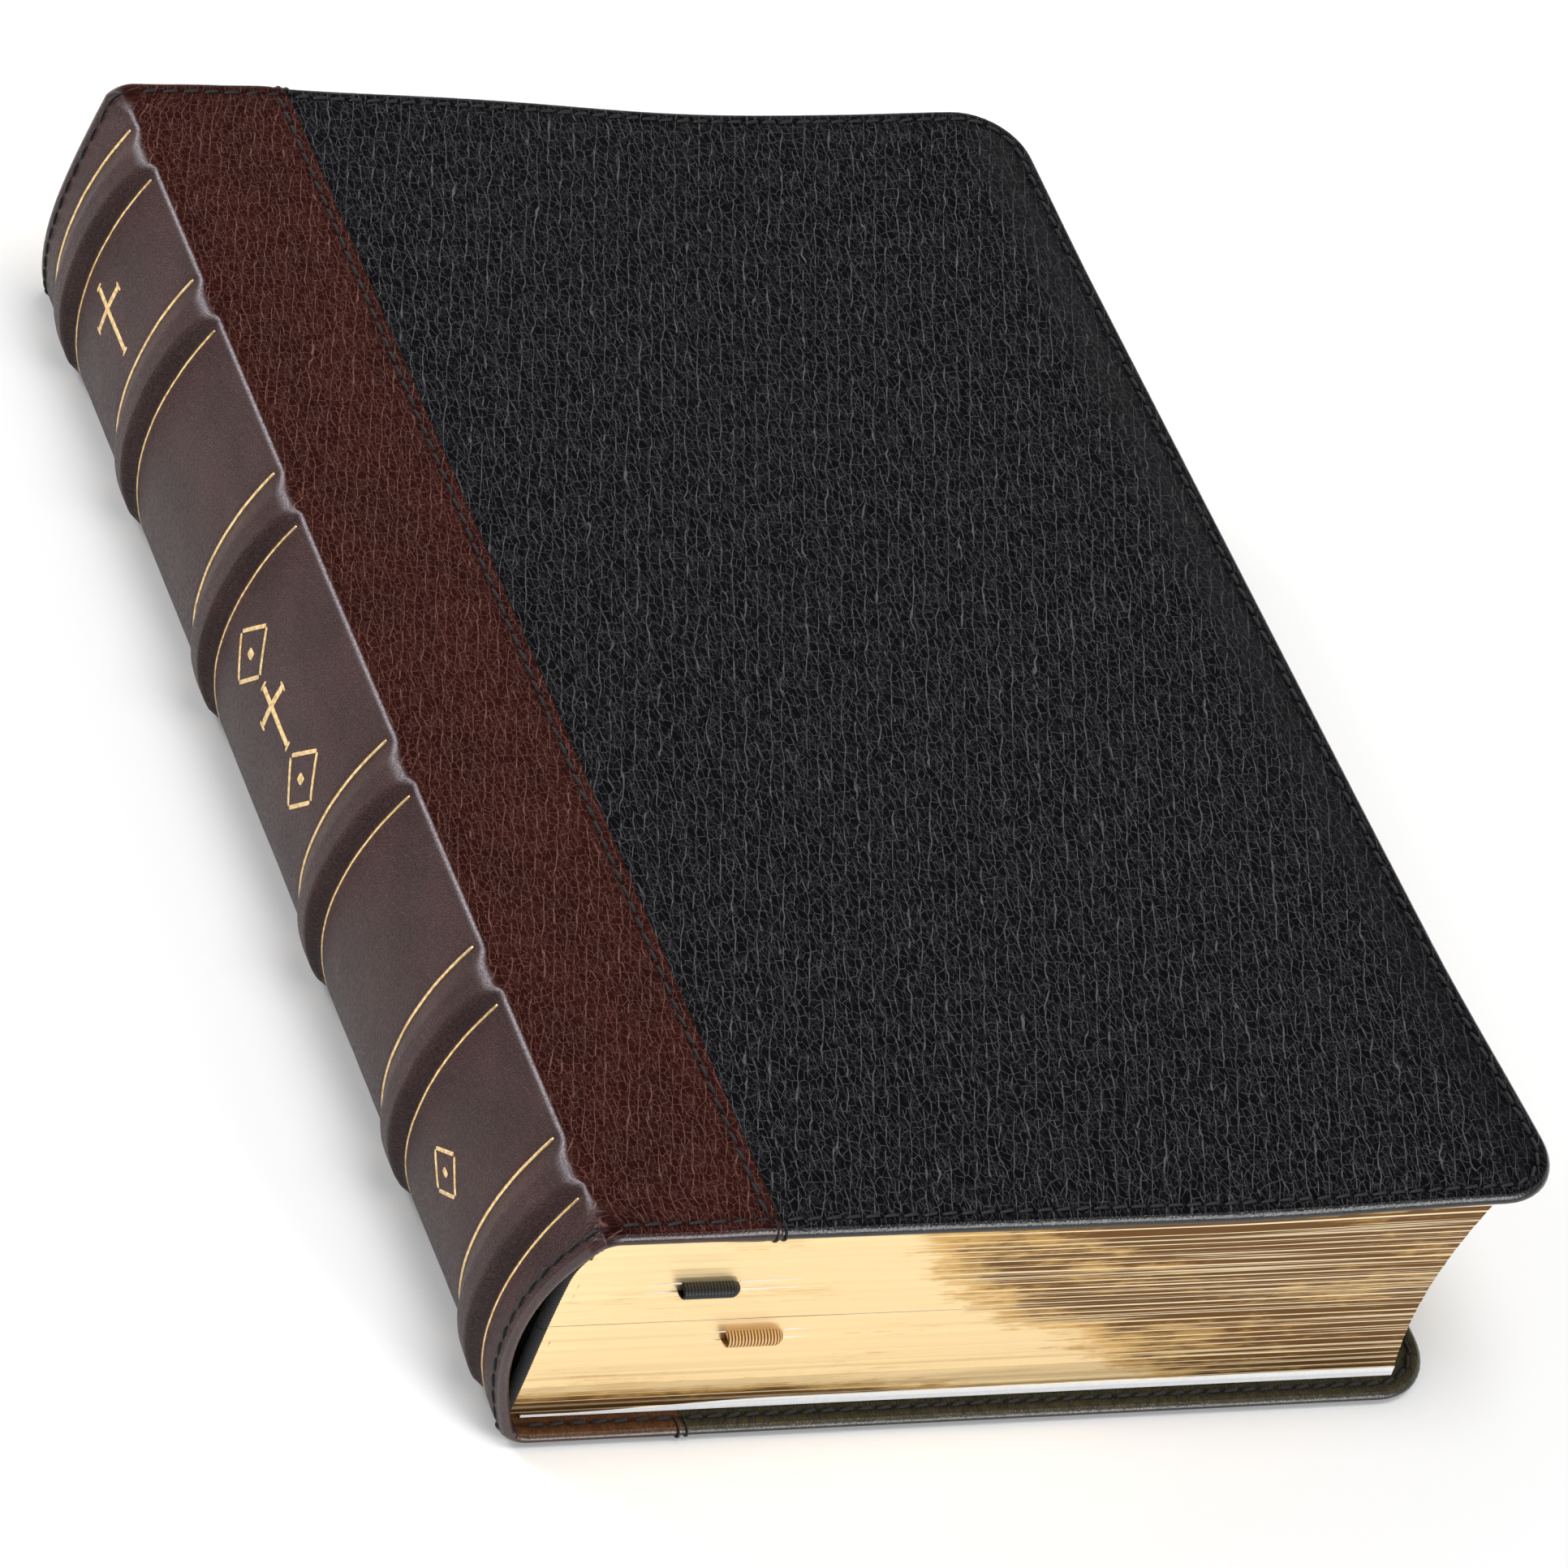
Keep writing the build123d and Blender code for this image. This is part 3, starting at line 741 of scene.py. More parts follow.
STRIP_TOP = [
    (SEAM - 0.3, -0.55), (SEAM, -0.25), (SEAM + 0.12, 0.05), (SEAM, 0.28), (SEAM - 0.35, 0.40),
    (SEAM - 1.1, 0.42), (SEAM - 1.6, 0.34), (SEAM - 2.0, 0.24), (SEAM - 2.4, 0.33),
    (SEAM - 3.1, 0.40), (SEAM - 4.5, 0.40), (SEAM - 7.0, 0.28), (SEAM - 10.0, 0.10),
] + [(u, 0.0) for u in (17.0, 14.5, 12.2, 10.2, 8.4, 6.9, 5.7, 4.8, 4.1, 3.5, 3.0, 2.5, 2.1, 1.7,
                        1.35, 1.0, 0.7, 0.45, 0.22)]
FOLD_STEPS = 6
FOLD_STEP_MM = 0.06  # sheet length of one step round the fold


def rub_and_highlight_at(distance, y, reach):
    """Rubbing along the fold, partly a painted highlight, wider where a band pushes it out, none at
    head and tail.
    """
    bands = band_profile(y)
    width = reach * (1 + 1.5 * bands)
    fade = smooth(4.0, 11.0, HALF - np.abs(y))
    return bell(distance, width) * fade * (1 - 0.25 * bands)


def wrap_piece(name, points, material, along, y, wear_and_sheen, painted_shade):
    """A piece of the wrap, with its sheet coordinates, rubbing with painted highlight, painted shade
    and edge marks.
    """
    attributes = {"sheet_mm": sheet_at(along, y, ROWS[:, 2]), "wear_and_sheen": wear_and_sheen.ravel()}
    for key, values in edge_marks_of(ROWS[:, 1], ROWS[:, 2]).items():
        attributes[key] = np.broadcast_to(values, y.shape).ravel()
    # Painted shade beside the seam's thread and the spine's bands, added to the groove attribute's
    attributes["groove"] = np.maximum(attributes["groove"], painted_shade.ravel())
    faces = grid_faces(*y.shape, close_columns=True)
    return leather_piece(name, points, faces, material, attributes, 0.004)


def build_strip(side):
    """The burgundy strip from the seam to the ridge, its end tucked under the spine's."""
    back = side == "back"
    lift_scale = 0.35 if back else 1.0
    columns = [(("top", w), {"lift": lift * lift_scale, "back": back}) for w, lift in STRIP_TOP]
    distances = [w for w, _ in STRIP_TOP]
    for step in range(FOLD_STEPS + 1):
        columns.append((("fold", 0.5 * step / FOLD_STEPS), {"back": back}))
        distances.append(-FOLD_STEP_MM * step)
    for w, squeeze in ((0.56, 0.8), (0.62, 0.5), (0.66, 0.2), (0.68, 0.0)):
        columns.append((("fold", w), {"squeeze": squeeze, "back": back}))
        distances.append(-0.5)
    u, y, z = sheet_columns(columns)
    along = np.array(distances)[:, None] + 0 * u
    drift = wobble(u + 3 * z, y, 9.0, 11.0) * 0.05
    z = z + drift * (u > 2.5) * (np.abs(y) < HALF - 4)
    # Painted shade along the seam's thread
    seam = bell(along - SEAM + SEAM_STITCH, 0.42) * (ROWS[:, 2] > 0.8)
    return wrap_piece(
        f"{side}_burgundy_strip", place(side, u, y, z), BURGUNDY, along, y,
        rub_and_highlight_at(along + 0.36, y, 0.22), seam,
    )


def spine_dent(along, y):
    """Slow dents in the spine leather, fading at its rims; along is the way round the arc."""
    depth = 0.14 * wobble(along, y, 16.0, 21.0) + 0.05 * wobble(along, y, 5.0, 22.0)
    edge = np.minimum(along, SPINE_ARC - along)
    return depth * smooth(0.5, 5.0, edge) * smooth(1.0, 6.0, HALF - np.abs(y))


def build_spine():
    """The spine leather, from the middle of the back ridge to the middle of the front one."""
    tucked = ((0.40, 0.0), (0.43, 0.4), (0.47, 0.8))
    half = [(("fold", w), {"squeeze": squeeze}) for w, squeeze in tucked]
    travel = [0.0] * len(tucked)
    for step in range(FOLD_STEPS + 1):
        half.append((("fold", 0.5 + 0.5 * step / FOLD_STEPS), {}))
        travel.append(FOLD_STEP_MM * step)
    for w in np.concatenate([[0.012, 0.03, 0.055, 0.085], np.linspace(0.12, 1.0, 34)]):
        half.append((("arc", w), {"along": 1 - w}))
        travel.append(FOLD_ARC + (SPINE_ARC / 2 - FOLD_ARC) * w)
    back_half = [(face, {**options, "back": True}) for face, options in half[-2::-1]]
    u, y, z = sheet_columns(half + back_half)
    z[len(half):] = THICK - z[len(half):]
    travel = np.array(travel)
    along = np.concatenate([travel, SPINE_ARC - travel[-2::-1]])[:, None] + 0 * u
    u = u + spine_dent(along, y)
    edge = np.minimum(along, SPINE_ARC - along)
    # Painted shade beside each band, deepest on its tail side, and over the spine's back half
    beside = sum(
        bell(y - c + 4.9, 0.8) + 0.5 * bell(y - c - 5.0, 0.9)
        for c in BAND_Y
    )
    painted_shade = np.maximum(0.6 * beside, 0.5 * smooth(20, 46, along))
    return wrap_piece(
        "spine_skin", settle(u, y, z), SPINE, along, y, rub_and_highlight_at(edge, y, 0.42), painted_shade
    )


# ---------------------------------------------------------------- covers
PANEL_LEFT = SEAM - 4.0


def edge_ring(inset, across, lengthways):
    """A U of points at one inset: along the tail, round the fore-edge corners, to the head."""
    turn = np.linspace(0, math.pi / 2, 12)[1:-1]
    radius = CORNER - inset
    inner_u, inner_y = FORE - CORNER, HALF - CORNER
    corner_u = inner_u + radius * np.sin(turn)
    corner_y = inner_y + radius * np.cos(turn)
    u = np.concatenate([
        across, corner_u, np.full(len(lengthways), FORE - inset), corner_u[::-1], across[::-1],
    ])
    y = np.concatenate([
        np.full(len(across), inset - HALF), -corner_y, lengthways, corner_y[::-1],
        np.full(len(across), HALF - inset),
    ])
    return u, y


def panel_height(u, y, inset, share):
    """The black panel's height: puffed a little inside its stitching."""
    z = THICK - COVER * (1 - share)
    slow = wobble(u, y, 34.0, 31.0) * 0.16 + wobble(u, y, 9.0, 32.0) * 0.05
    return z + slow * share * smooth(3.0, 9.0, inset)


def fore_calm(u):
    """The leather is pulled smoother where it turns over the fore-edge; the same band gets a painted
    sheen.
    """
    return 0.5 * smooth(FORE - 15, FORE - 5, u)


def build_panel(side):
    """The black leather panel: rolled edges as rings, and a fine grid inside them."""
    across = np.linspace(PANEL_LEFT, FORE - CORNER, 96)
    lengthways = np.linspace(-(HALF - CORNER), HALF - CORNER, 170)
    parts = [(*edge_ring(inset, across, lengthways), inset, share) for inset, share in ROLL]
    faces = grid_faces(len(ROLL), len(parts[0][0]))
    count = len(ROLL) * len(parts[0][0])
    for share in (1.0, 0.0):
        parts.append((*np.meshgrid(across, lengthways, indexing="ij"), CORNER, share))
        faces += grid_faces(len(across), len(lengthways), start=count, flip=share == 0.0)
        count += len(across) * len(lengthways)
    u, y, inset, share = (
        np.concatenate([np.broadcast_to(part[i], part[0].shape).ravel() for part in parts])
        for i in range(4)
    )
    attributes = {"sheet_mm": sheet_at(u, y, share)}
    # Painted sheen where the black leather turns over the fore-edge
    attributes["wear_and_sheen"] = 0.12 * fore_calm(u) * smooth(-140, 40, y) * smooth(0.9, 1.0, share)
    attributes.update(edge_marks_of(inset, share))
    attributes["calm"] = np.maximum(attributes["calm"], fore_calm(u))
    points = place(side, u, y, panel_height(u, y, inset, share))
    return leather_piece(f"{side}_black_panel", points, faces, BLACK, attributes, 0.02)


def build_pastedown(side):
    """The sheet pasted over the inside of a cover, its edge just proud of the turned-in leather."""
    margin = 10.0
    low, high = margin + 0.6, HALF - margin - 0.6
    across = np.linspace(low, FORE - low, 60)
    lengthways = np.linspace(-high, high, 90)
    u, y = np.meshgrid(across, lengthways, indexing="ij")
    edge = np.minimum.reduce([u - margin, FORE - margin - u, HALF - margin - np.abs(y)])
    z = THICK - COVER - 0.22 + 0.30 * smooth(1.1, 0.5, edge)
    points = place(side, u, y, z)
    piece = grid_piece(f"{side}_pastedown_sheet", points, sheet_at(u, y), PASTEDOWN, flip=True)
    return thicken(piece, 0.2, -1.0 if side == "back" else 1.0)


# ---------------------------------------------------------------- thread
def resample(path, normals, pitch):
    """Places, directions and normals every pitch along a polyline in metres."""
    steps = np.linalg.norm(np.diff(path, axis=0), axis=1)
    travel = np.concatenate([[0], np.cumsum(steps)])
    count = max(1, int(travel[-1] / (pitch * MM)))
    wanted = (np.arange(count) + 0.5) * travel[-1] / count

    def at(values, where):
        return np.stack([np.interp(where, travel, values[:, i]) for i in range(3)], -1)

    def unit(vectors):
        return vectors / np.linalg.norm(vectors, axis=1, keepdims=True)

    direction = unit(at(path, wanted + 0.4 * MM) - at(path, wanted - 0.4 * MM))
    normal = at(normals, wanted)
    normal -= direction * np.sum(normal * direction, axis=1, keepdims=True)
    return at(path, wanted), direction, unit(normal)


def over_the_edge(side):
    """Paths of the thread that is carried over the rolled edge beside the seam."""
    paths = []
    for end in (-1, 1):
        for offset, proud in ((-0.8, 1.24), (0.7, 1.12)):
            turn = np.array([(inset, share) for inset, share in ROLL if inset < 2.3])
            inset = 1.2 + (turn[:, 0] - 1.2) * proud
            z = THICK - COVER / 2 + COVER * (turn[:, 1] - 0.5) * proud
            paths.append(place(side, np.full(len(turn), SEAM + offset), end * (HALF - inset), z))
    return paths


def stitch_mesh(name, runs, turns=()):
    """Every stitch of some runs of thread, each a short bead whose ends dive into the leather."""
    along = np.linspace(-1, 1, 9)
    ring = np.linspace(0, 2 * math.pi, 7)[:-1]
    points, faces, sheets = [], [], []
    for path, normals in runs:
        for here, direction, normal in zip(*resample(path, normals, PITCH)):
            side = np.cross(normal, direction)
            turn = math.radians(SLANT + rng.normal(0, 3.0))
            forward = direction * math.cos(turn) + side * math.sin(turn)
            across = np.cross(normal, forward)
            start = len(points)
            for t in along:
                radius = THREAD * MM * math.sqrt(max(0.0, 1 - 0.93 * t**4))
                middle = here + forward * t * STITCH * MM / 2
                middle = middle + normal * MM * (0.16 - 0.42 * t**4)
                for angle in ring:
                    out = across * math.cos(angle) + normal * math.sin(angle)
                    points.append(middle + radius * out)
                    sheets.append((t * STITCH / 2 + 2.7 * start, THREAD * angle, 0.0))
            faces += grid_faces(len(along), len(ring), start=start, close_columns=True)
            faces.append(tuple(start + i for i in range(len(ring)))[::-1])
            last = start + (len(along) - 1) * len(ring)
            faces.append(tuple(last + i for i in range(len(ring))))
    across = np.array([1.0, 0.0, 0.0])
    for path in turns:
        start = len(points)
        for here, ahead in zip(path, np.gradient(path, axis=0)):
            normal = np.cross(ahead, across)
            normal /= np.linalg.norm(normal)
            for angle in ring:
                out = across * math.cos(angle) + normal * math.sin(angle)
                points.append(here + 0.2 * MM * out)
                sheets.append((THREAD * angle, 0.1 * len(points), 0.0))
        faces += grid_faces(len(path), len(ring), start=start, close_columns=True)
    return make_piece(name, points, faces, [THREAD_BLACK], attributes={"sheet_mm": np.array(sheets)})


def wrap_thread(columns, y_sign, share, side="front", mirror=False):
    """The thread's path across some wrap columns at one end, on the outer or inner face."""
    path, normals = [], []
    for (kind, w), options in columns:
        along = options.get("along", 1.0)
        y = dipped(np.array([y_sign * (HALF - THREAD_INSET)]), np.array([THREAD_INSET]), along)
        back = mirror or side == "back"
        outer_u, outer_z = wrap_face(kind, w, y, True, back)
        inner_u, inner_z = wrap_face(kind, w, y, False, back)
        u = inner_u + (outer_u - inner_u) * share
        z = inner_z + (outer_z - inner_z) * share
        if mirror:
            z = THICK - z
        spot = settle(u, y, z)[0] if mirror else place(side, u, y, z)[0]
        outwards = np.array([(outer_u - inner_u)[0], 0.0, (outer_z - inner_z)[0]])
        if back:
            outwards[2] = -outwards[2]
        path.append(spot)
        normals.append(outwards if share > 0.5 else -outwards)
    return np.array(path), np.array(normals)


def cover_thread_runs(side):
    """Perimeter thread on a cover's outer face and inner margin, and the thread of its seam."""
    runs = []
    top = [(("top", w), {}) for w in np.linspace(SEAM - 1.0, 0.3, 40)]
    for share in (GROOVE_SHARE, 1 - GROOVE_SHARE):
        sign = 1.0 if (share > 0.5) == (side == "front") else -1.0
        across = np.linspace(SEAM + 1.2, FORE - CORNER, 60)
        lengthways = np.linspace(-(HALF - CORNER), HALF - CORNER, 120)
        u, y = edge_ring(THREAD_INSET, across, lengthways)
        z = np.full_like(u, THICK - COVER * (1 - share))
        path = place(side, u, y, z)
        runs.append((path, np.tile([0.0, 0.0, sign], (len(path), 1))))
        for end in (-1, 1):
            runs.append(wrap_thread(top, end, share, side))
    y = np.linspace(-(HALF - 3.4), HALF - 3.4, 160)
    lift = 0.2 if side == "front" else 0.05
    path = place(side, np.full_like(y, SEAM - SEAM_STITCH), y, np.full_like(y, THICK + lift))
    runs.append((path, np.tile([0.0, 0.0, 1.0 if side == "front" else -1.0], (len(path), 1))))
    return runs


def spine_thread_runs():
    """Thread along the spine's head and tail edges."""
    half = [(("fold", w), {}) for w in np.linspace(0.5, 1.0, 5)]
    half += [(("arc", w), {"along": 1 - w}) for w in np.linspace(0.01, 1.0, 40)]
    runs = []
    for end in (-1, 1):
        upper, upper_normals = wrap_thread(half, end, GROOVE_SHARE)
        lower, lower_normals = wrap_thread(half, end, GROOVE_SHARE, mirror=True)
        path = np.concatenate([upper, lower[-2::-1]])
        normals = np.concatenate([upper_normals, lower_normals[-2::-1]])
        runs.append((path, normals))
    return runs


# ---------------------------------------------------------------- gilt on the spine
def spine_spot(across, y, lift):
    """A frame point on the spine's outer face; across runs from -1 at the back ridge to 1."""
    across, y = np.broadcast_arrays(np.asarray(across, float), np.asarray(y, float))
    w = 1 - np.abs(across)
    u, z = np.empty(across.shape), np.empty(across.shape)
    for index in np.ndindex(across.shape):
        here = float(w[index]), np.array([y[index]])
        one_u, one_z = wrap_face("arc", *here, True, bool(across[index] < 0))
        u[index], z[index] = one_u[0], one_z[0]
    along = FOLD_ARC + (SPINE_ARC / 2 - FOLD_ARC) * w
    u = u + spine_dent(np.where(across < 0, SPINE_ARC - along, along), y)
    angle = np.abs(across) * math.asin(THICK / 2 / RADIUS)
    u = u - lift * np.cos(angle)
    z = z + lift * np.sin(angle)
    return settle(u, y, np.where(across < 0, THICK - z, z))


FOIL_LIFT = 0.1


def foil_patch(across, y):
    """Points and faces of a thin foil sheet over a grid of (across, y), rounded at its rim."""
    shape = across.shape
    rim = np.zeros(shape)
    rim[0, :] = rim[-1, :] = rim[:, 0] = rim[:, -1] = 1
    points = spine_spot(across, y, FOIL_LIFT * (1 - 1.6 * rim))
    return points.reshape(-1, 3), sheet_at(across * SPINE_ARC / 2, y), shape


def foil_piece(name, patches):
    """Joins foil patches into one piece."""
    points, sheets, faces, count = [], [], [], 0
    for spots, sheet, shape in patches:
        points.append(spots)
        sheets.append(sheet)
        faces += grid_faces(*shape, start=count)
        count += len(spots)
    return make_piece(
        name, np.concatenate(points), faces, [FOIL], attributes={"sheet_mm": np.concatenate(sheets)}
    )


def gilt_rules():
    """One thin rule each side of every band, stopping short of both ridges."""
    patches = []
    end = 0.955
    for centre in BAND_Y:
        for offset in (-RULE_OFFSET, RULE_OFFSET):
            across, ys = np.meshgrid(
                np.linspace(-end, end, 90), centre + offset + np.array([-0.3, -0.22, 0, 0.22, 0.3]),
                indexing="ij",
            )
            patches.append(foil_patch(across, ys))
    return foil_piece("spine_gilt_rules", patches)


ARC_MM = SPINE_ARC / 2
UPPER_RISE = 2.4  # how far the upper ornament stands from the middle, towards the front ridge
MIDDLE_RISE = 3.8


def bar(centre, start, end, width):
    """A straight gilt bar between two (across, y) places in millimetres about a centre."""
    start, end = np.array(start, float), np.array(end, float)
    along = end - start
    length = np.hypot(*along)
    along /= length
    sideways = np.array([-along[1], along[0]])
    t = np.linspace(0, length, max(4, int(length / 0.7)))
    s = np.linspace(-width / 2, width / 2, 5)
    grid = start + t[:, None, None] * along + s[None, :, None] * sideways
    return foil_patch((centre[0] + grid[..., 0]) / ARC_MM, centre[1] + grid[..., 1])


def latin_cross(centre, length, width, thick):
    """A plain Latin cross with short serifs, its foot towards the tail."""
    foot, top, arms = -length / 2, length / 2, length / 6
    flare = 1.9 * thick
    serif = 0.45 * thick
    bars = [
        bar(centre, (0, foot), (0, top), thick),
        bar(centre, (-width / 2, arms), (width / 2, arms), thick),
    ]
    for end in (foot, top):
        bars.append(bar(centre, (-flare / 2, end), (flare / 2, end), serif))
    for end in (-width / 2, width / 2):
        bars.append(bar(centre, (end, arms - flare / 2), (end, arms + flare / 2), serif))
    return bars


def lozenge(centre, length, width, thick):
    """A lozenge outline round a small solid one."""
    tips = [(0, length / 2), (width / 2, 0), (0, -length / 2), (-width / 2, 0)]
    sides = [bar(centre, tips[i], tips[(i + 1) % 4], thick) for i in range(4)]
    return sides + [bar(centre, (0, -length / 9), (0, length / 9), width / 6)]


def gilt_ornaments():
    """Plain ornaments in three panels: a cross, a cross between lozenges, and a lozenge."""
    panels = [(a + b) / 2 for a, b in zip(BAND_Y, BAND_Y[1:])]
    patches = latin_cross((UPPER_RISE, panels[0]), 15.0, 10.0, 1.3)
    patches += latin_cross((MIDDLE_RISE, panels[2]), 13.0, 9.0, 1.4)
    for step in (-13.5, 13.5):
        patches += lozenge((MIDDLE_RISE, panels[2] + step), 10.0, 13.0, 0.85)
    patches += lozenge((0, panels[4]), 10.0, 8.0, 0.8)
    return foil_piece("spine_gilt_ornaments", patches)


# ---------------------------------------------------------------- leaves
LEAF_SEED = 41
LEAF_WIDTH = 160.0  # about, to set the fine steps at a leaf's edges
SHOULDER = 10.5  # height and depth of the round under the front cover
PAPER_LOW = COVER - PRESSED + 0.1  # underside of the white endpapers


def block_fore(z):
    """The hollow fore-edge."""
    middle = THICK / 2
    return BLOCK_FORE + 0.4 - 3.0 * (1 - ((z - middle) / (middle - COVER)) ** 2)


def block_back(z):
    """The block's rounded back: a big shoulder under the front cover, nearly straight below."""
    from_top = np.clip((THICK - COVER - 0.2 - z) / SHOULDER, 0, 1)
    shoulder = SHOULDER * (1 - np.sqrt(np.clip(1 - (1 - from_top) ** 2, 0, 1)))
    return -0.3 + shoulder + 1.1 * smooth(32, 2, z)


def leaf_relief(z, travel, seed):
    """How far a leaf edge stands in or out, in millimetres: single leaves and whole bundles."""
    source = np.random.default_rng(int(seed))
    relief = np.zeros_like(z)
    for step, spread in ((0.34, 0.018), (1.1, 0.032)):
        heights = np.arange(0, THICK + 3, step)
        relief += np.interp(z, heights, source.normal(0, spread, len(heights)))
    return relief[:, None] + 0.05 * wobble(travel[None, :], 14.0 * z[:, None], 26.0, seed)


def paper_top(u):
    """Top of the white endpapers on the back cover: thin at the spine, thicker beyond."""
    return COVER + 0.15 + 1.6 * smooth(8, 46, u)


def tail_dulling_and_reflection(u, z):
    """Where the gilt is painted bronze, partly dulled and partly a dim painted reflection:
    beyond the middle, and low down by the spine.
    """
    edge = np.maximum(44 - 0.56 * (u - 45), 4)
    middle = 0.9 * smooth(-9, 7, z - edge) * smooth(34, 70, u)
    low = 0.95 * smooth(8.6, 4.8, z) * smooth(120, 40, u)
    return np.clip(middle + low + 0.55 * smooth(112, 136, u), 0, 0.95)


def full_sag(u, y, z):
    """How leaves at a height follow the front cover: all its dish, and most of its curl on top."""
    bend = sag(u, y)
    dish = np.clip((z - FRONT_LOW) / (THICK - FRONT_LOW), 0, 1) ** 1.2
    curl = np.clip((z - 30.0) / (THICK - 30.0), 0, 1) ** 1.3
    return np.minimum(bend, 0) * dish + 0.8 * np.maximum(bend, 0) * curl * smooth(20, 60, u)


def corner_steps(low, high, count):
    """Even steps with one more just inside each end, so that a corner stays crisp."""
    steps = np.linspace(low, high, count)
    nudge = 0.03 * np.sign(high - low)
    return np.concatenate([[low, low + nudge], steps[1:-1], [high - nudge, high]])


def build_leaves(
    name, low, high, materials, span, follow=0.0, proud=0.0, relief=1.0, counts=(80, 120)
):
    """A closed stack of leaves between two heights and two outlines across the book."""
    layers = corner_steps(low, high, max(4, int((high - low) / 0.3) + 1))
    across = corner_steps(0, LEAF_WIDTH, counts[0]) / LEAF_WIDTH
    lengthways = corner_steps(-BLOCK_HALF, BLOCK_HALF, counts[1])
    left, right = span
    nu, nv = len(across), len(lengthways)
    # Once round: tail, fore-edge, head, back
    share = np.concatenate([across, np.ones(nv - 2), across[::-1], np.zeros(nv - 2)])
    ring_y = np.concatenate([
        np.full(nu, -BLOCK_HALF), lengthways[1:-1], np.full(nu, BLOCK_HALF), lengthways[-2:0:-1],
    ])
    out_y = np.concatenate([-np.ones(nu), np.zeros(nv - 2), np.ones(nu), np.zeros(nv - 2)])
    out_u = np.concatenate([np.zeros(nu), np.ones(nv - 2), np.zeros(nu), np.zeros(nv - 2)])
    start, width = left(layers)[:, None], (right(layers) - left(layers))[:, None]
    u = start + share[None, :] * width
    z = np.repeat(layers[:, None], len(share), axis=1)
    bumps = relief * leaf_relief(layers, u[0] + ring_y * out_u, LEAF_SEED) + proud
    u = u + bumps * out_u
    y = ring_y[None, :] + bumps * out_y
    points = [point(u, y, z + follow * full_sag(u, y, z)).reshape(-1, 3)]
    on_end = np.abs(out_y)[None, :] > 0
    # The gilt's painted reflection and dulling: from the map on the end faces, even elsewhere
    dulling_and_reflection_values = [np.where(on_end, tail_dulling_and_reflection(u, z), 0.30 + 0.25 * smooth(60, 120, np.abs(y))).ravel()]
    sheets = [np.stack([u + ring_y * out_u, y, z], -1).reshape(-1, 3)]
    faces = grid_faces(len(layers), len(share), close_columns=True)
    indices = [0] * len(faces)
    count = len(layers) * len(share)
    for layer, flip in ((0, True), (len(layers) - 1, False)):
        ring = points[0].reshape(len(layers), len(share), 3)[layer]
        flat_u, flat_y = np.meshgrid(start[layer] + across * width[layer], lengthways, indexing="ij")
        bend = follow * full_sag(flat_u, flat_y, layers[layer])
        cap = point(flat_u, flat_y, layers[layer] + bend)
        cap[:, 0] = ring[:nu]
        cap[-1, 1:-1] = ring[nu:nu + nv - 2]
        cap[:, -1] = ring[nu + nv - 2:2 * nu + nv - 2][::-1]
        cap[0, 1:-1] = ring[2 * nu + nv - 2:][::-1]
        points.append(cap.reshape(-1, 3))
        sheets.append(sheet_at(flat_u, flat_y))
        dulling_and_reflection_values.append(np.zeros(nu * nv))
        cap_faces = grid_faces(nu, nv, start=count, flip=flip)
        faces += cap_faces
        indices += [1] * len(cap_faces)
        count += nu * nv
    piece = make_piece(
        name, np.concatenate(points), faces, materials, indices,
        {"sheet_mm": np.concatenate(sheets), "dulling_and_reflection": np.concatenate(dulling_and_reflection_values)},
    )
    weld(piece, 0.001 * MM)
    piece.data.set_sharp_from_angle(angle=math.radians(50))
    return piece


def block_core(z):
    """Where the leaves that turn stiffly begin: past the axis they open about."""
    return np.maximum(block_back(z), BLOCK_BACK)


def rounded_back(half, low, high):
    """The block's round back, for one half of the leaves."""
    return build_leaves(
        f"{half}_rounded_back", low, high, [GILT, PAGE], (block_back, block_core),
        follow=1.0 if half == "front" else 0.0, counts=(6, 120),
    )


def white_endpapers():
    """The white endpapers on the back cover, standing a hair proud of the gilt."""
    piece = build_leaves(
        "rear_white_endpapers", PAPER_LOW, PAPER_LOW + 1.0, [ENDPAPER, ENDPAPER],
        (lambda z: block_back(z) + 2.4, lambda z: block_fore(z) - 0.2), proud=0.13, relief=0.4,
    )
    for vertex in piece.data.vertices:
        u = vertex.co.x / MM - HINGE_X
        share = vertex.co.z / MM - PAPER_LOW
        vertex.co.z = (PAPER_LOW + share * (float(paper_top(u)) - PAPER_LOW)) * MM
    return piece


def centre_leaf():
    """The folded leaf at the opening: it lies between the halves and closes the gutter."""
    gap, count = 0.12, 60
    fold = np.linspace(-math.pi / 2, math.pi / 2, 13)
    lower_u = np.linspace(BLOCK_FORE - 6.0, BLOCK_BACK + 1.0, count)
    u = np.concatenate([lower_u, GUTTER_X + 0.6 - 0.55 * np.cos(fold), lower_u[::-1]])
    z = np.concatenate([
        np.full(count, REAR_TOP + gap),
        GUTTER_Z + (FRONT_LOW - REAR_TOP - 2 * gap) / 2 * np.sin(fold),
        np.full(count, FRONT_LOW - gap),
    ])
    ys = np.linspace(-BLOCK_HALF + 1.6, BLOCK_HALF - 1.6, count)
    grid_u, grid_y = np.meshgrid(u, ys, indexing="ij")
    points = point(grid_u, grid_y, z[:, None])
    return grid_piece("centre_leaf", points, sheet_at(grid_u, grid_y), PAGE)


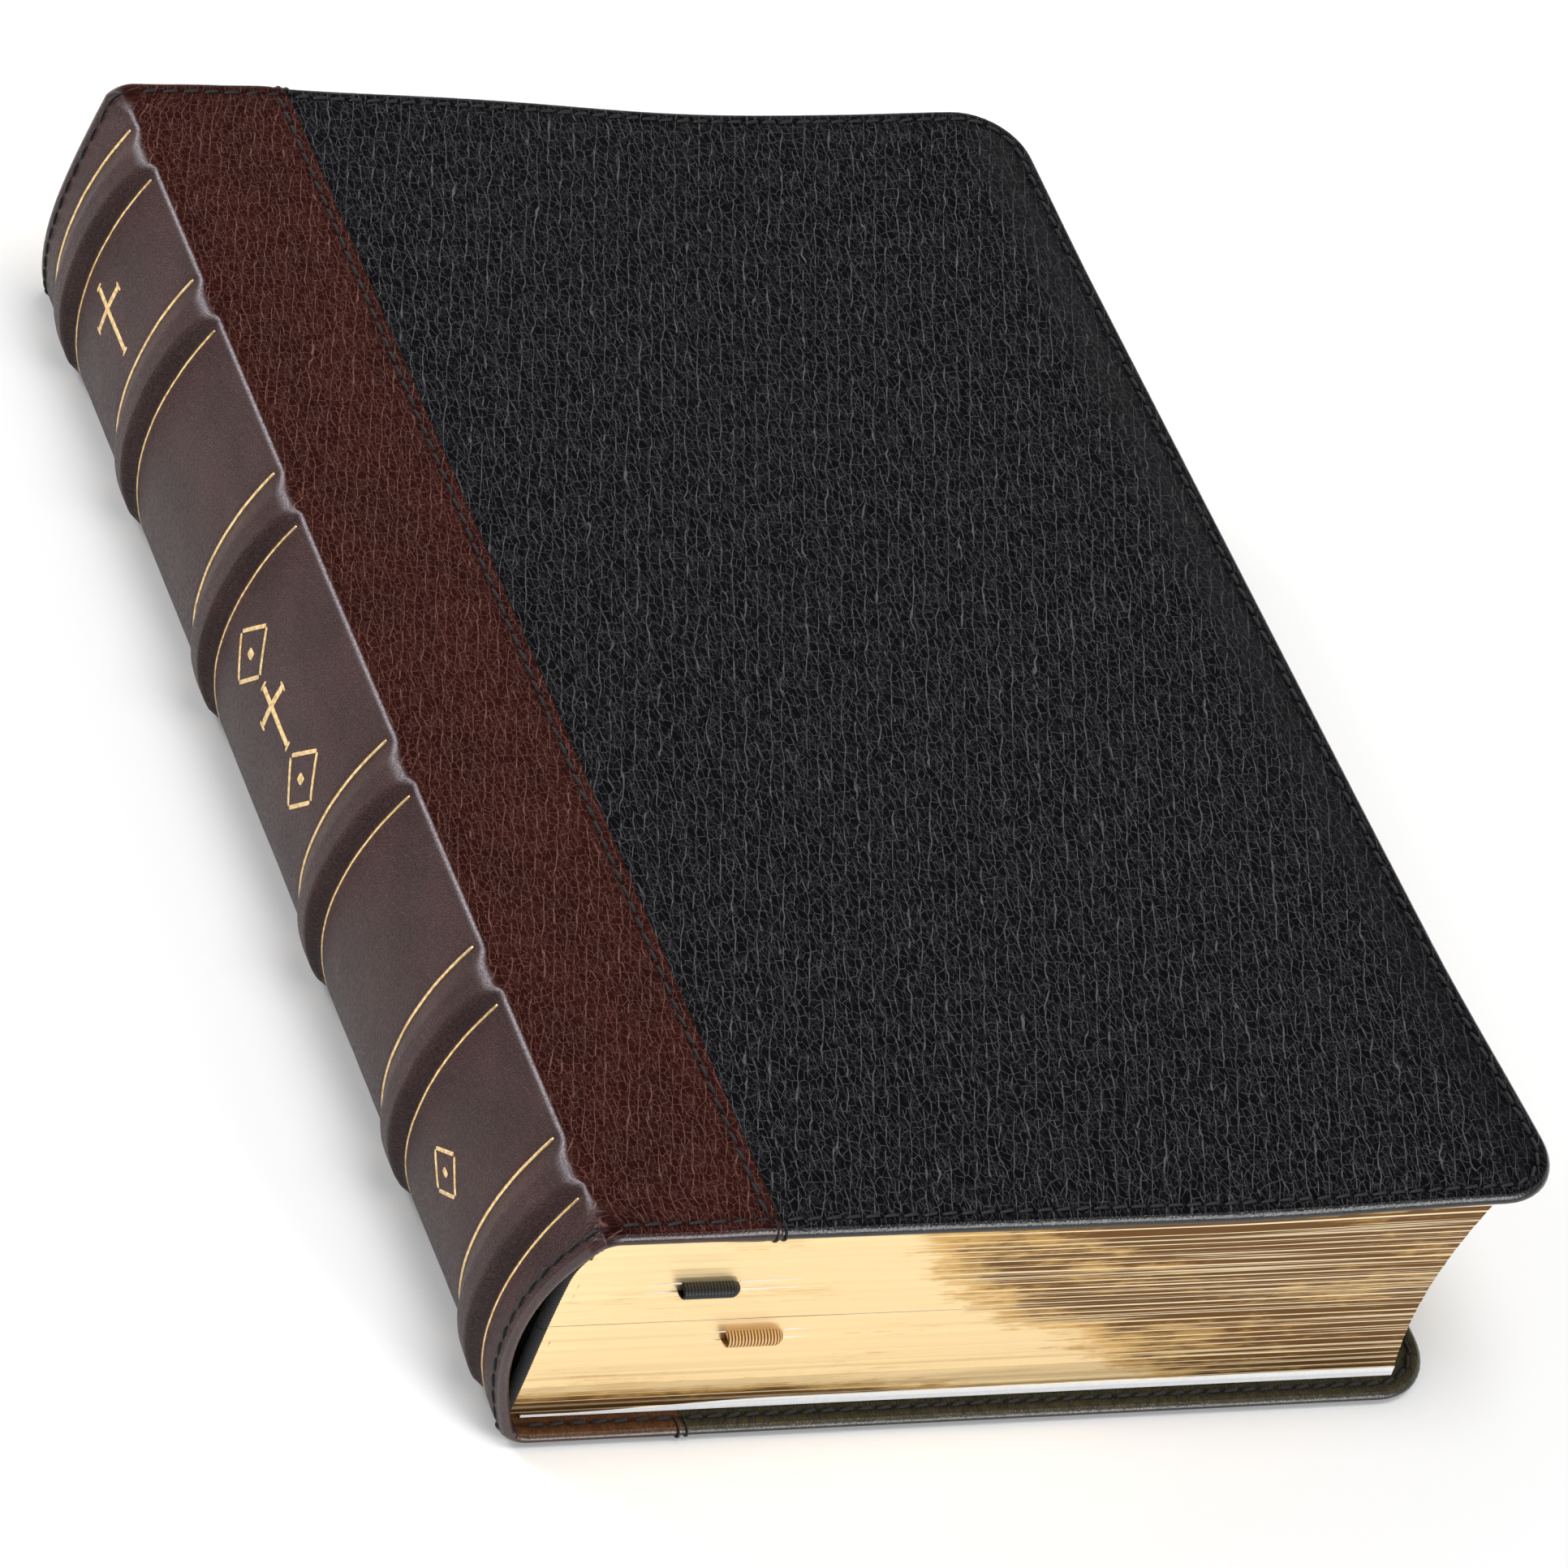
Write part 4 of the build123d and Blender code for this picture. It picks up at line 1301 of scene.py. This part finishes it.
def lining(half, low, high):
    """Dark cloth glued over the back of the leaves, on one half of the book."""
    z = np.linspace(low, high, max(8, int((high - low) / 0.4)))
    y = np.linspace(-(BLOCK_HALF - 0.4), BLOCK_HALF - 0.4, 170)
    grid_z, grid_y = np.meshgrid(z, y, indexing="ij")
    weave = 0.05 * np.sin(grid_z * 9.0) * np.sin(grid_y * 5.0)
    u = block_back(grid_z) - 0.30 + weave
    points = point(u, grid_y, grid_z)
    piece = grid_piece(f"{half}_lining_cloth", points, sheet_at(grid_z, grid_y), CLOTH)
    return thicken(piece, 0.35, 0.0)


def headband(name, end, low, high):
    """A wound bead across the back edge of the leaves, with the turns of thread standing out."""
    z = np.linspace(low, high, int((high - low) / 0.09))
    ring = np.linspace(0, 2 * math.pi, 19)[:-1]
    grid_z, angle = np.meshgrid(z, ring, indexing="ij")
    turns = 0.10 * np.abs(np.sin(grid_z * math.pi / 0.62 + angle))
    radius = 0.95 + turns
    taper = smooth(0, 1.2, np.minimum(grid_z - COVER - 1.0, THICK - COVER - 1.0 - grid_z))
    radius = radius * (0.25 + 0.75 * taper)
    u = block_back(grid_z) - 0.5 + radius * np.cos(angle)
    y = end * (BLOCK_HALF - 0.6) + radius * np.sin(angle)
    sheet = sheet_at(grid_z, angle * 0.9)
    return grid_piece(name, point(u, y, grid_z), sheet, CLOTH, close_columns=True)


# ---------------------------------------------------------------- ribbons
RIBBON_THICK = 0.24
RIBBON_FINE = 14.0  # finer steps over this length before the loop
RIBBON_BACK = 70.0  # each ribbon comes back into the book for this length
RIBBON_HEAD_U = 9.0  # where both ribbons start at the head


def ribbon(name, node, low, high, material):
    """A ribbed satin ribbon: down the book, round some leaves at the tail, and back inside."""
    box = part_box(node)
    left, right = box[0][0] / MM - HINGE_X, box[1][0] / MM - HINGE_X
    width, tail_u = right - left, (left + right) / 2
    loop_y = box[0][1] / MM
    middle, half = (low + high) / 2, (high - low) / 2
    run = [(y, high) for y in np.linspace(BLOCK_HALF - 3, RIBBON_FINE - BLOCK_HALF, 70)]
    near = [(-BLOCK_HALF + RIBBON_FINE * (1 - t), high) for t in np.linspace(0.1, 1, 8)]
    turn = np.linspace(math.pi / 2, -math.pi / 2, 17)
    bulge = -BLOCK_HALF - loop_y
    loop = [(-BLOCK_HALF - bulge * max(0.0, math.cos(t)) ** 0.75, middle + half * math.sin(t))
            for t in turn]
    back = [(y, low) for y in np.linspace(2 - BLOCK_HALF, RIBBON_BACK - BLOCK_HALF, 18)]
    path = np.array(run + near + loop + back)
    step = np.gradient(path, axis=0)
    normal = np.stack([step[:, 1], -step[:, 0]], -1)
    normal /= np.linalg.norm(normal, axis=1, keepdims=True)
    centre = tail_u + (RIBBON_HEAD_U - tail_u) * smooth(-60, BLOCK_HALF, path[:, 0])
    centre[len(run):] = tail_u
    ribs = int(width / 0.55)
    cross = np.linspace(-0.5, 0.5, ribs * 6 + 1)
    rib = np.abs(np.sin(cross * math.pi * ribs))
    edge = smooth(0.5, 0.485, np.abs(cross))
    rows = []
    for sign in (1, -1):
        offset = sign * (RIBBON_THICK / 2 + 0.055 * rib) * (0.3 + 0.7 * edge)
        pinch = 1 - 0.6 * np.clip((cross - 0.32) / 0.18, 0, 1) ** 2
        in_loop = smooth(-BLOCK_HALF + 4, -BLOCK_HALF, path[:, 0])[:, None]
        squeeze = 1 + (pinch[None, :] - 1) * in_loop
        out = np.minimum(path[:, 0] + BLOCK_HALF, 0)[:, None] * (squeeze - 1)
        y = path[:, 0][:, None] + out + normal[:, 0][:, None] * offset
        z = middle + (path[:, 1][:, None] - middle) * squeeze + normal[:, 1][:, None] * offset
        u = centre[:, None] + cross[None, :] * width
        rows.append(point(u, y, z)[:, ::sign])
    points = np.concatenate(rows, axis=1)
    travel = np.concatenate([[0], np.cumsum(np.hypot(*np.diff(path, axis=0).T))])
    both = np.concatenate([cross, cross[::-1]]) * width
    sheet = np.stack(np.broadcast_arrays(both[None, :], travel[:, None], 0.0), -1)
    slant = np.abs(np.sin(math.pi * (ribs * both[None, :] / width + 0.3 * travel[:, None])))
    faces = grid_faces(points.shape[0], points.shape[1], close_columns=True)
    last = (points.shape[0] - 1) * points.shape[1]
    faces.append(tuple(range(points.shape[1]))[::-1])
    faces.append(tuple(last + i for i in range(points.shape[1])))
    return make_piece(
        name, points, faces, [material],
        attributes={"sheet_mm": sheet.reshape(-1, 3), "rib": slant.ravel()},
    )


def parted_leaves(name, node, heights, reach):
    """Slivers of bare white paper either side of a ribbon, where it holds the leaves apart."""
    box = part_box(node)
    left, right = box[0][0] / MM - HINGE_X, box[1][0] / MM - HINGE_X
    points, faces, sheets = [], [], []
    for z in heights:
        for start, end in ((left + 1.2, left - reach), (right, right + 1.8 * reach)):
            t = np.linspace(0, 1, 24)
            u = start + (end - start) * t
            height = 0.06 * (1 - t) ** 0.8 + 0.004
            y = -BLOCK_HALF - 0.13 + 0.11 * t
            base = len(points)
            for inwards, up in ((0.3, 1.0), (0.0, 0.8), (0.0, -0.8), (0.3, -1.0)):
                row = (u, y + inwards, z + up * height)
                points.extend(point(*row).tolist())
                sheets.extend(np.stack(row, -1).tolist())
            faces += grid_faces(4, len(t), start=base, flip=start > end)
    return make_piece(name, points, faces, [ENDPAPER], attributes={"sheet_mm": np.array(sheets)})


# ---------------------------------------------------------------- assembly
def in_frame(u, y, z):
    """One frame point as a plain tuple."""
    return tuple(float(value) for value in point(u, y, z))


FLEX = 6.0  # width of leather beside each ridge that flexes
front_hinge = (in_frame(0.2, 0, THICK), in_frame(FLEX, 0, THICK))
back_hinge = (in_frame(BACK_RIDGE_IN + 0.2, 0, 0), in_frame(BACK_RIDGE_IN + FLEX, 0, 0))
gutter = (in_frame(0, 0, REAR_TOP + 0.125), in_frame(0, 0, FRONT_LOW - 0.125))
cover_body = {"front": "front_cover", "back": "rear_half"}

for cover in ("front", "back"):
    panel = build_panel(cover)
    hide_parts(f"{cover}_leather", f"{cover}_board")
    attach(panel, cover_body[cover])
    strip = build_strip(cover)
    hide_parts(f"{cover}_strip")
    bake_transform(strip)
    inside = build_pastedown(cover)
    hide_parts(f"{cover}_pastedown")
    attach(inside, cover_body[cover])
    stitches = stitch_mesh(f"{cover}_thread", cover_thread_runs(cover), over_the_edge(cover))
    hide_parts(f"{cover}_stitching")
    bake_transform(stitches)

bands = [f"raised_band_{i}" for i in range(1, 7)]
spine_pieces = [
    (build_spine(), "spine_leather", ["spine_leather", "spine_inlay"] + bands),
    (stitch_mesh("spine_thread", spine_thread_runs()), "thread", ["spine_stitching"]),
    (gilt_rules(), "gilt_foil", ["gilt_rules"]),
    (gilt_ornaments(), "gilt_foil", ["gilt_ornaments"]),
]
for piece, finish, nodes in spine_pieces:
    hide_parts(*nodes)
    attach(piece, "spine")
    in_frame(0, 0, THICK / 2)
    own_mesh(piece)

core = (block_core, block_fore)
halves = {
    "rear": ("rear_half", COVER + 0.2, REAR_TOP + 0.1, 0.0),
    "front": ("front_leaves", FRONT_LOW - 0.1, FRONT_TOP - 0.15, 1.0),
}
sections = {
    "rear": [f"section_{i:02d}" for i in range(1, 7)],
    "front": [f"section_{i:02d}" for i in range(7, 13)] + ["front_endpapers"],
}
back_anchor = in_frame(BLOCK_BACK, 0, THICK / 2)
for half, (body, low, high, follow) in halves.items():
    leaves = build_leaves(f"{half}_gilt_leaves", low, high, [GILT, PAGE], core, follow=follow)
    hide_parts(*sections[half])
    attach(leaves, body)
    bead_low = max(low, COVER + 1.0)
    bead_high = min(high, THICK - COVER - 1.0)
    back_pieces = [
        (rounded_back(half, low, min(high, 39.0)), "gilt_leaves"),
        (lining(half, low + 0.6, high - 2.0 if half == "front" else high), "lining_cloth"),
        (headband(f"{half}_head_bead", 1, bead_low, bead_high), "headband"),
        (headband(f"{half}_tail_bead", -1, bead_low, bead_high), "headband"),
    ]
    for piece, finish in back_pieces:
        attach(piece, body)
        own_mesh(piece)
    if half == "rear":
        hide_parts("spine_lining")
        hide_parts("head_headband")
        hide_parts("tail_headband")
rear_paper = white_endpapers()
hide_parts("rear_endpapers")
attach(rear_paper, "rear_half")

leaf = centre_leaf()
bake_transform(leaf)

slide_start = in_frame(0, BLOCK_HALF - 4, 0)
slide_end = in_frame(0, RIBBON_BACK + 2 - BLOCK_HALF, 0)
gold_box, black_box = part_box("gold_ribbon_tail"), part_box("black_ribbon_tail")
for colour, box, body, material, reach in (
    ("gold", gold_box, "rear_half", GOLD_SATIN, 3.0),
    ("black", black_box, "front_leaves", BLACK_SATIN, 6.0),
):
    low, high = box[0][2] / MM + 0.1, box[1][2] / MM - 0.3
    made = ribbon(f"{colour}_satin_ribbon", f"{colour}_ribbon_tail", low, high, material)
    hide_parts(f"{colour}_ribbon_run", f"{colour}_ribbon_tail")
    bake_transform(made)
    gaps = parted_leaves(
        f"{colour}_ribbon_parted_leaves", f"{colour}_ribbon_tail", (low, high), reach
    )
    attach(gaps, body)


# ---------------------------------------------------------------- studio
def looking(stand, aim):
    """The matrix of a light or camera that stands at one point and looks at another."""
    turn = (Vector(aim) - Vector(stand)).to_track_quat("-Z", "Y")
    return Matrix.Translation(stand) @ turn.to_matrix().to_4x4()


def studio():
    """A pale floor, a soft sky, soft boxes, and the camera."""
    scene = bpy.context.scene
    scene.view_settings.view_transform = "Standard"
    floor_paint = Shader("floor", (0.88, 0.88, 0.88), 0.7, Specular_IOR_Level=0.2)
    floor_noise = floor_paint.node("TexCoord").outputs["Object"]
    shade = floor_paint.remap(floor_paint.noise(floor_noise, 3.0), 0.3, 0.7, 0.69, 0.71)
    floor_paint.finish(roughness=shade)
    size = 6.0
    floor = make_piece(
        "floor", [(-size, -size, 0), (size, -size, 0), (size, size, 0), (-size, size, 0)],
        [(0, 1, 2, 3)], [floor_paint.material],
    )
    world = bpy.data.worlds.new("studio")
    world.use_nodes = True
    sockets(world.node_tree.nodes["Background"], Color=(0.96, 0.98, 1.0, 1), Strength=0.36)
    scene.world = world

    def soft_box(name, place_at, aim, size, power):
        data = bpy.data.lights.new(name, "AREA")
        data.shape = "RECTANGLE"
        data.size, data.size_y = size
        data.energy = power
        lamp = bpy.data.objects.new(name, data)
        lamp.matrix_world = looking(place_at, aim)
        scene.collection.objects.link(lamp)

    soft_box("key", (-1.15, 1.05, 0.95), (0, 0, 0.03), (0.8, 0.6), 22)
    soft_box("overhead", (-0.15, -0.2, 1.7), (0, 0, 0), (0.9, 0.9), 16)
    soft_box("tail_fill", (0.9, -1.5, 0.9), (0, -0.1, 0.02), (1.2, 0.7), 22)

    camera_data = bpy.data.cameras.new("camera")
    camera_data.lens = 192.23
    camera_data.sensor_width = 36.0
    camera_data.clip_end = 20.0
    camera = bpy.data.objects.new("camera", camera_data)
    stand = (-0.64746, -0.81970, 0.89131)
    aim = (-0.00225, -0.01771, 0.0300)
    roll = math.radians(26.83)
    camera.matrix_world = looking(stand, aim) @ Matrix.Rotation(roll, 4, "Z")
    scene.collection.objects.link(camera)
    scene.camera = camera


studio()
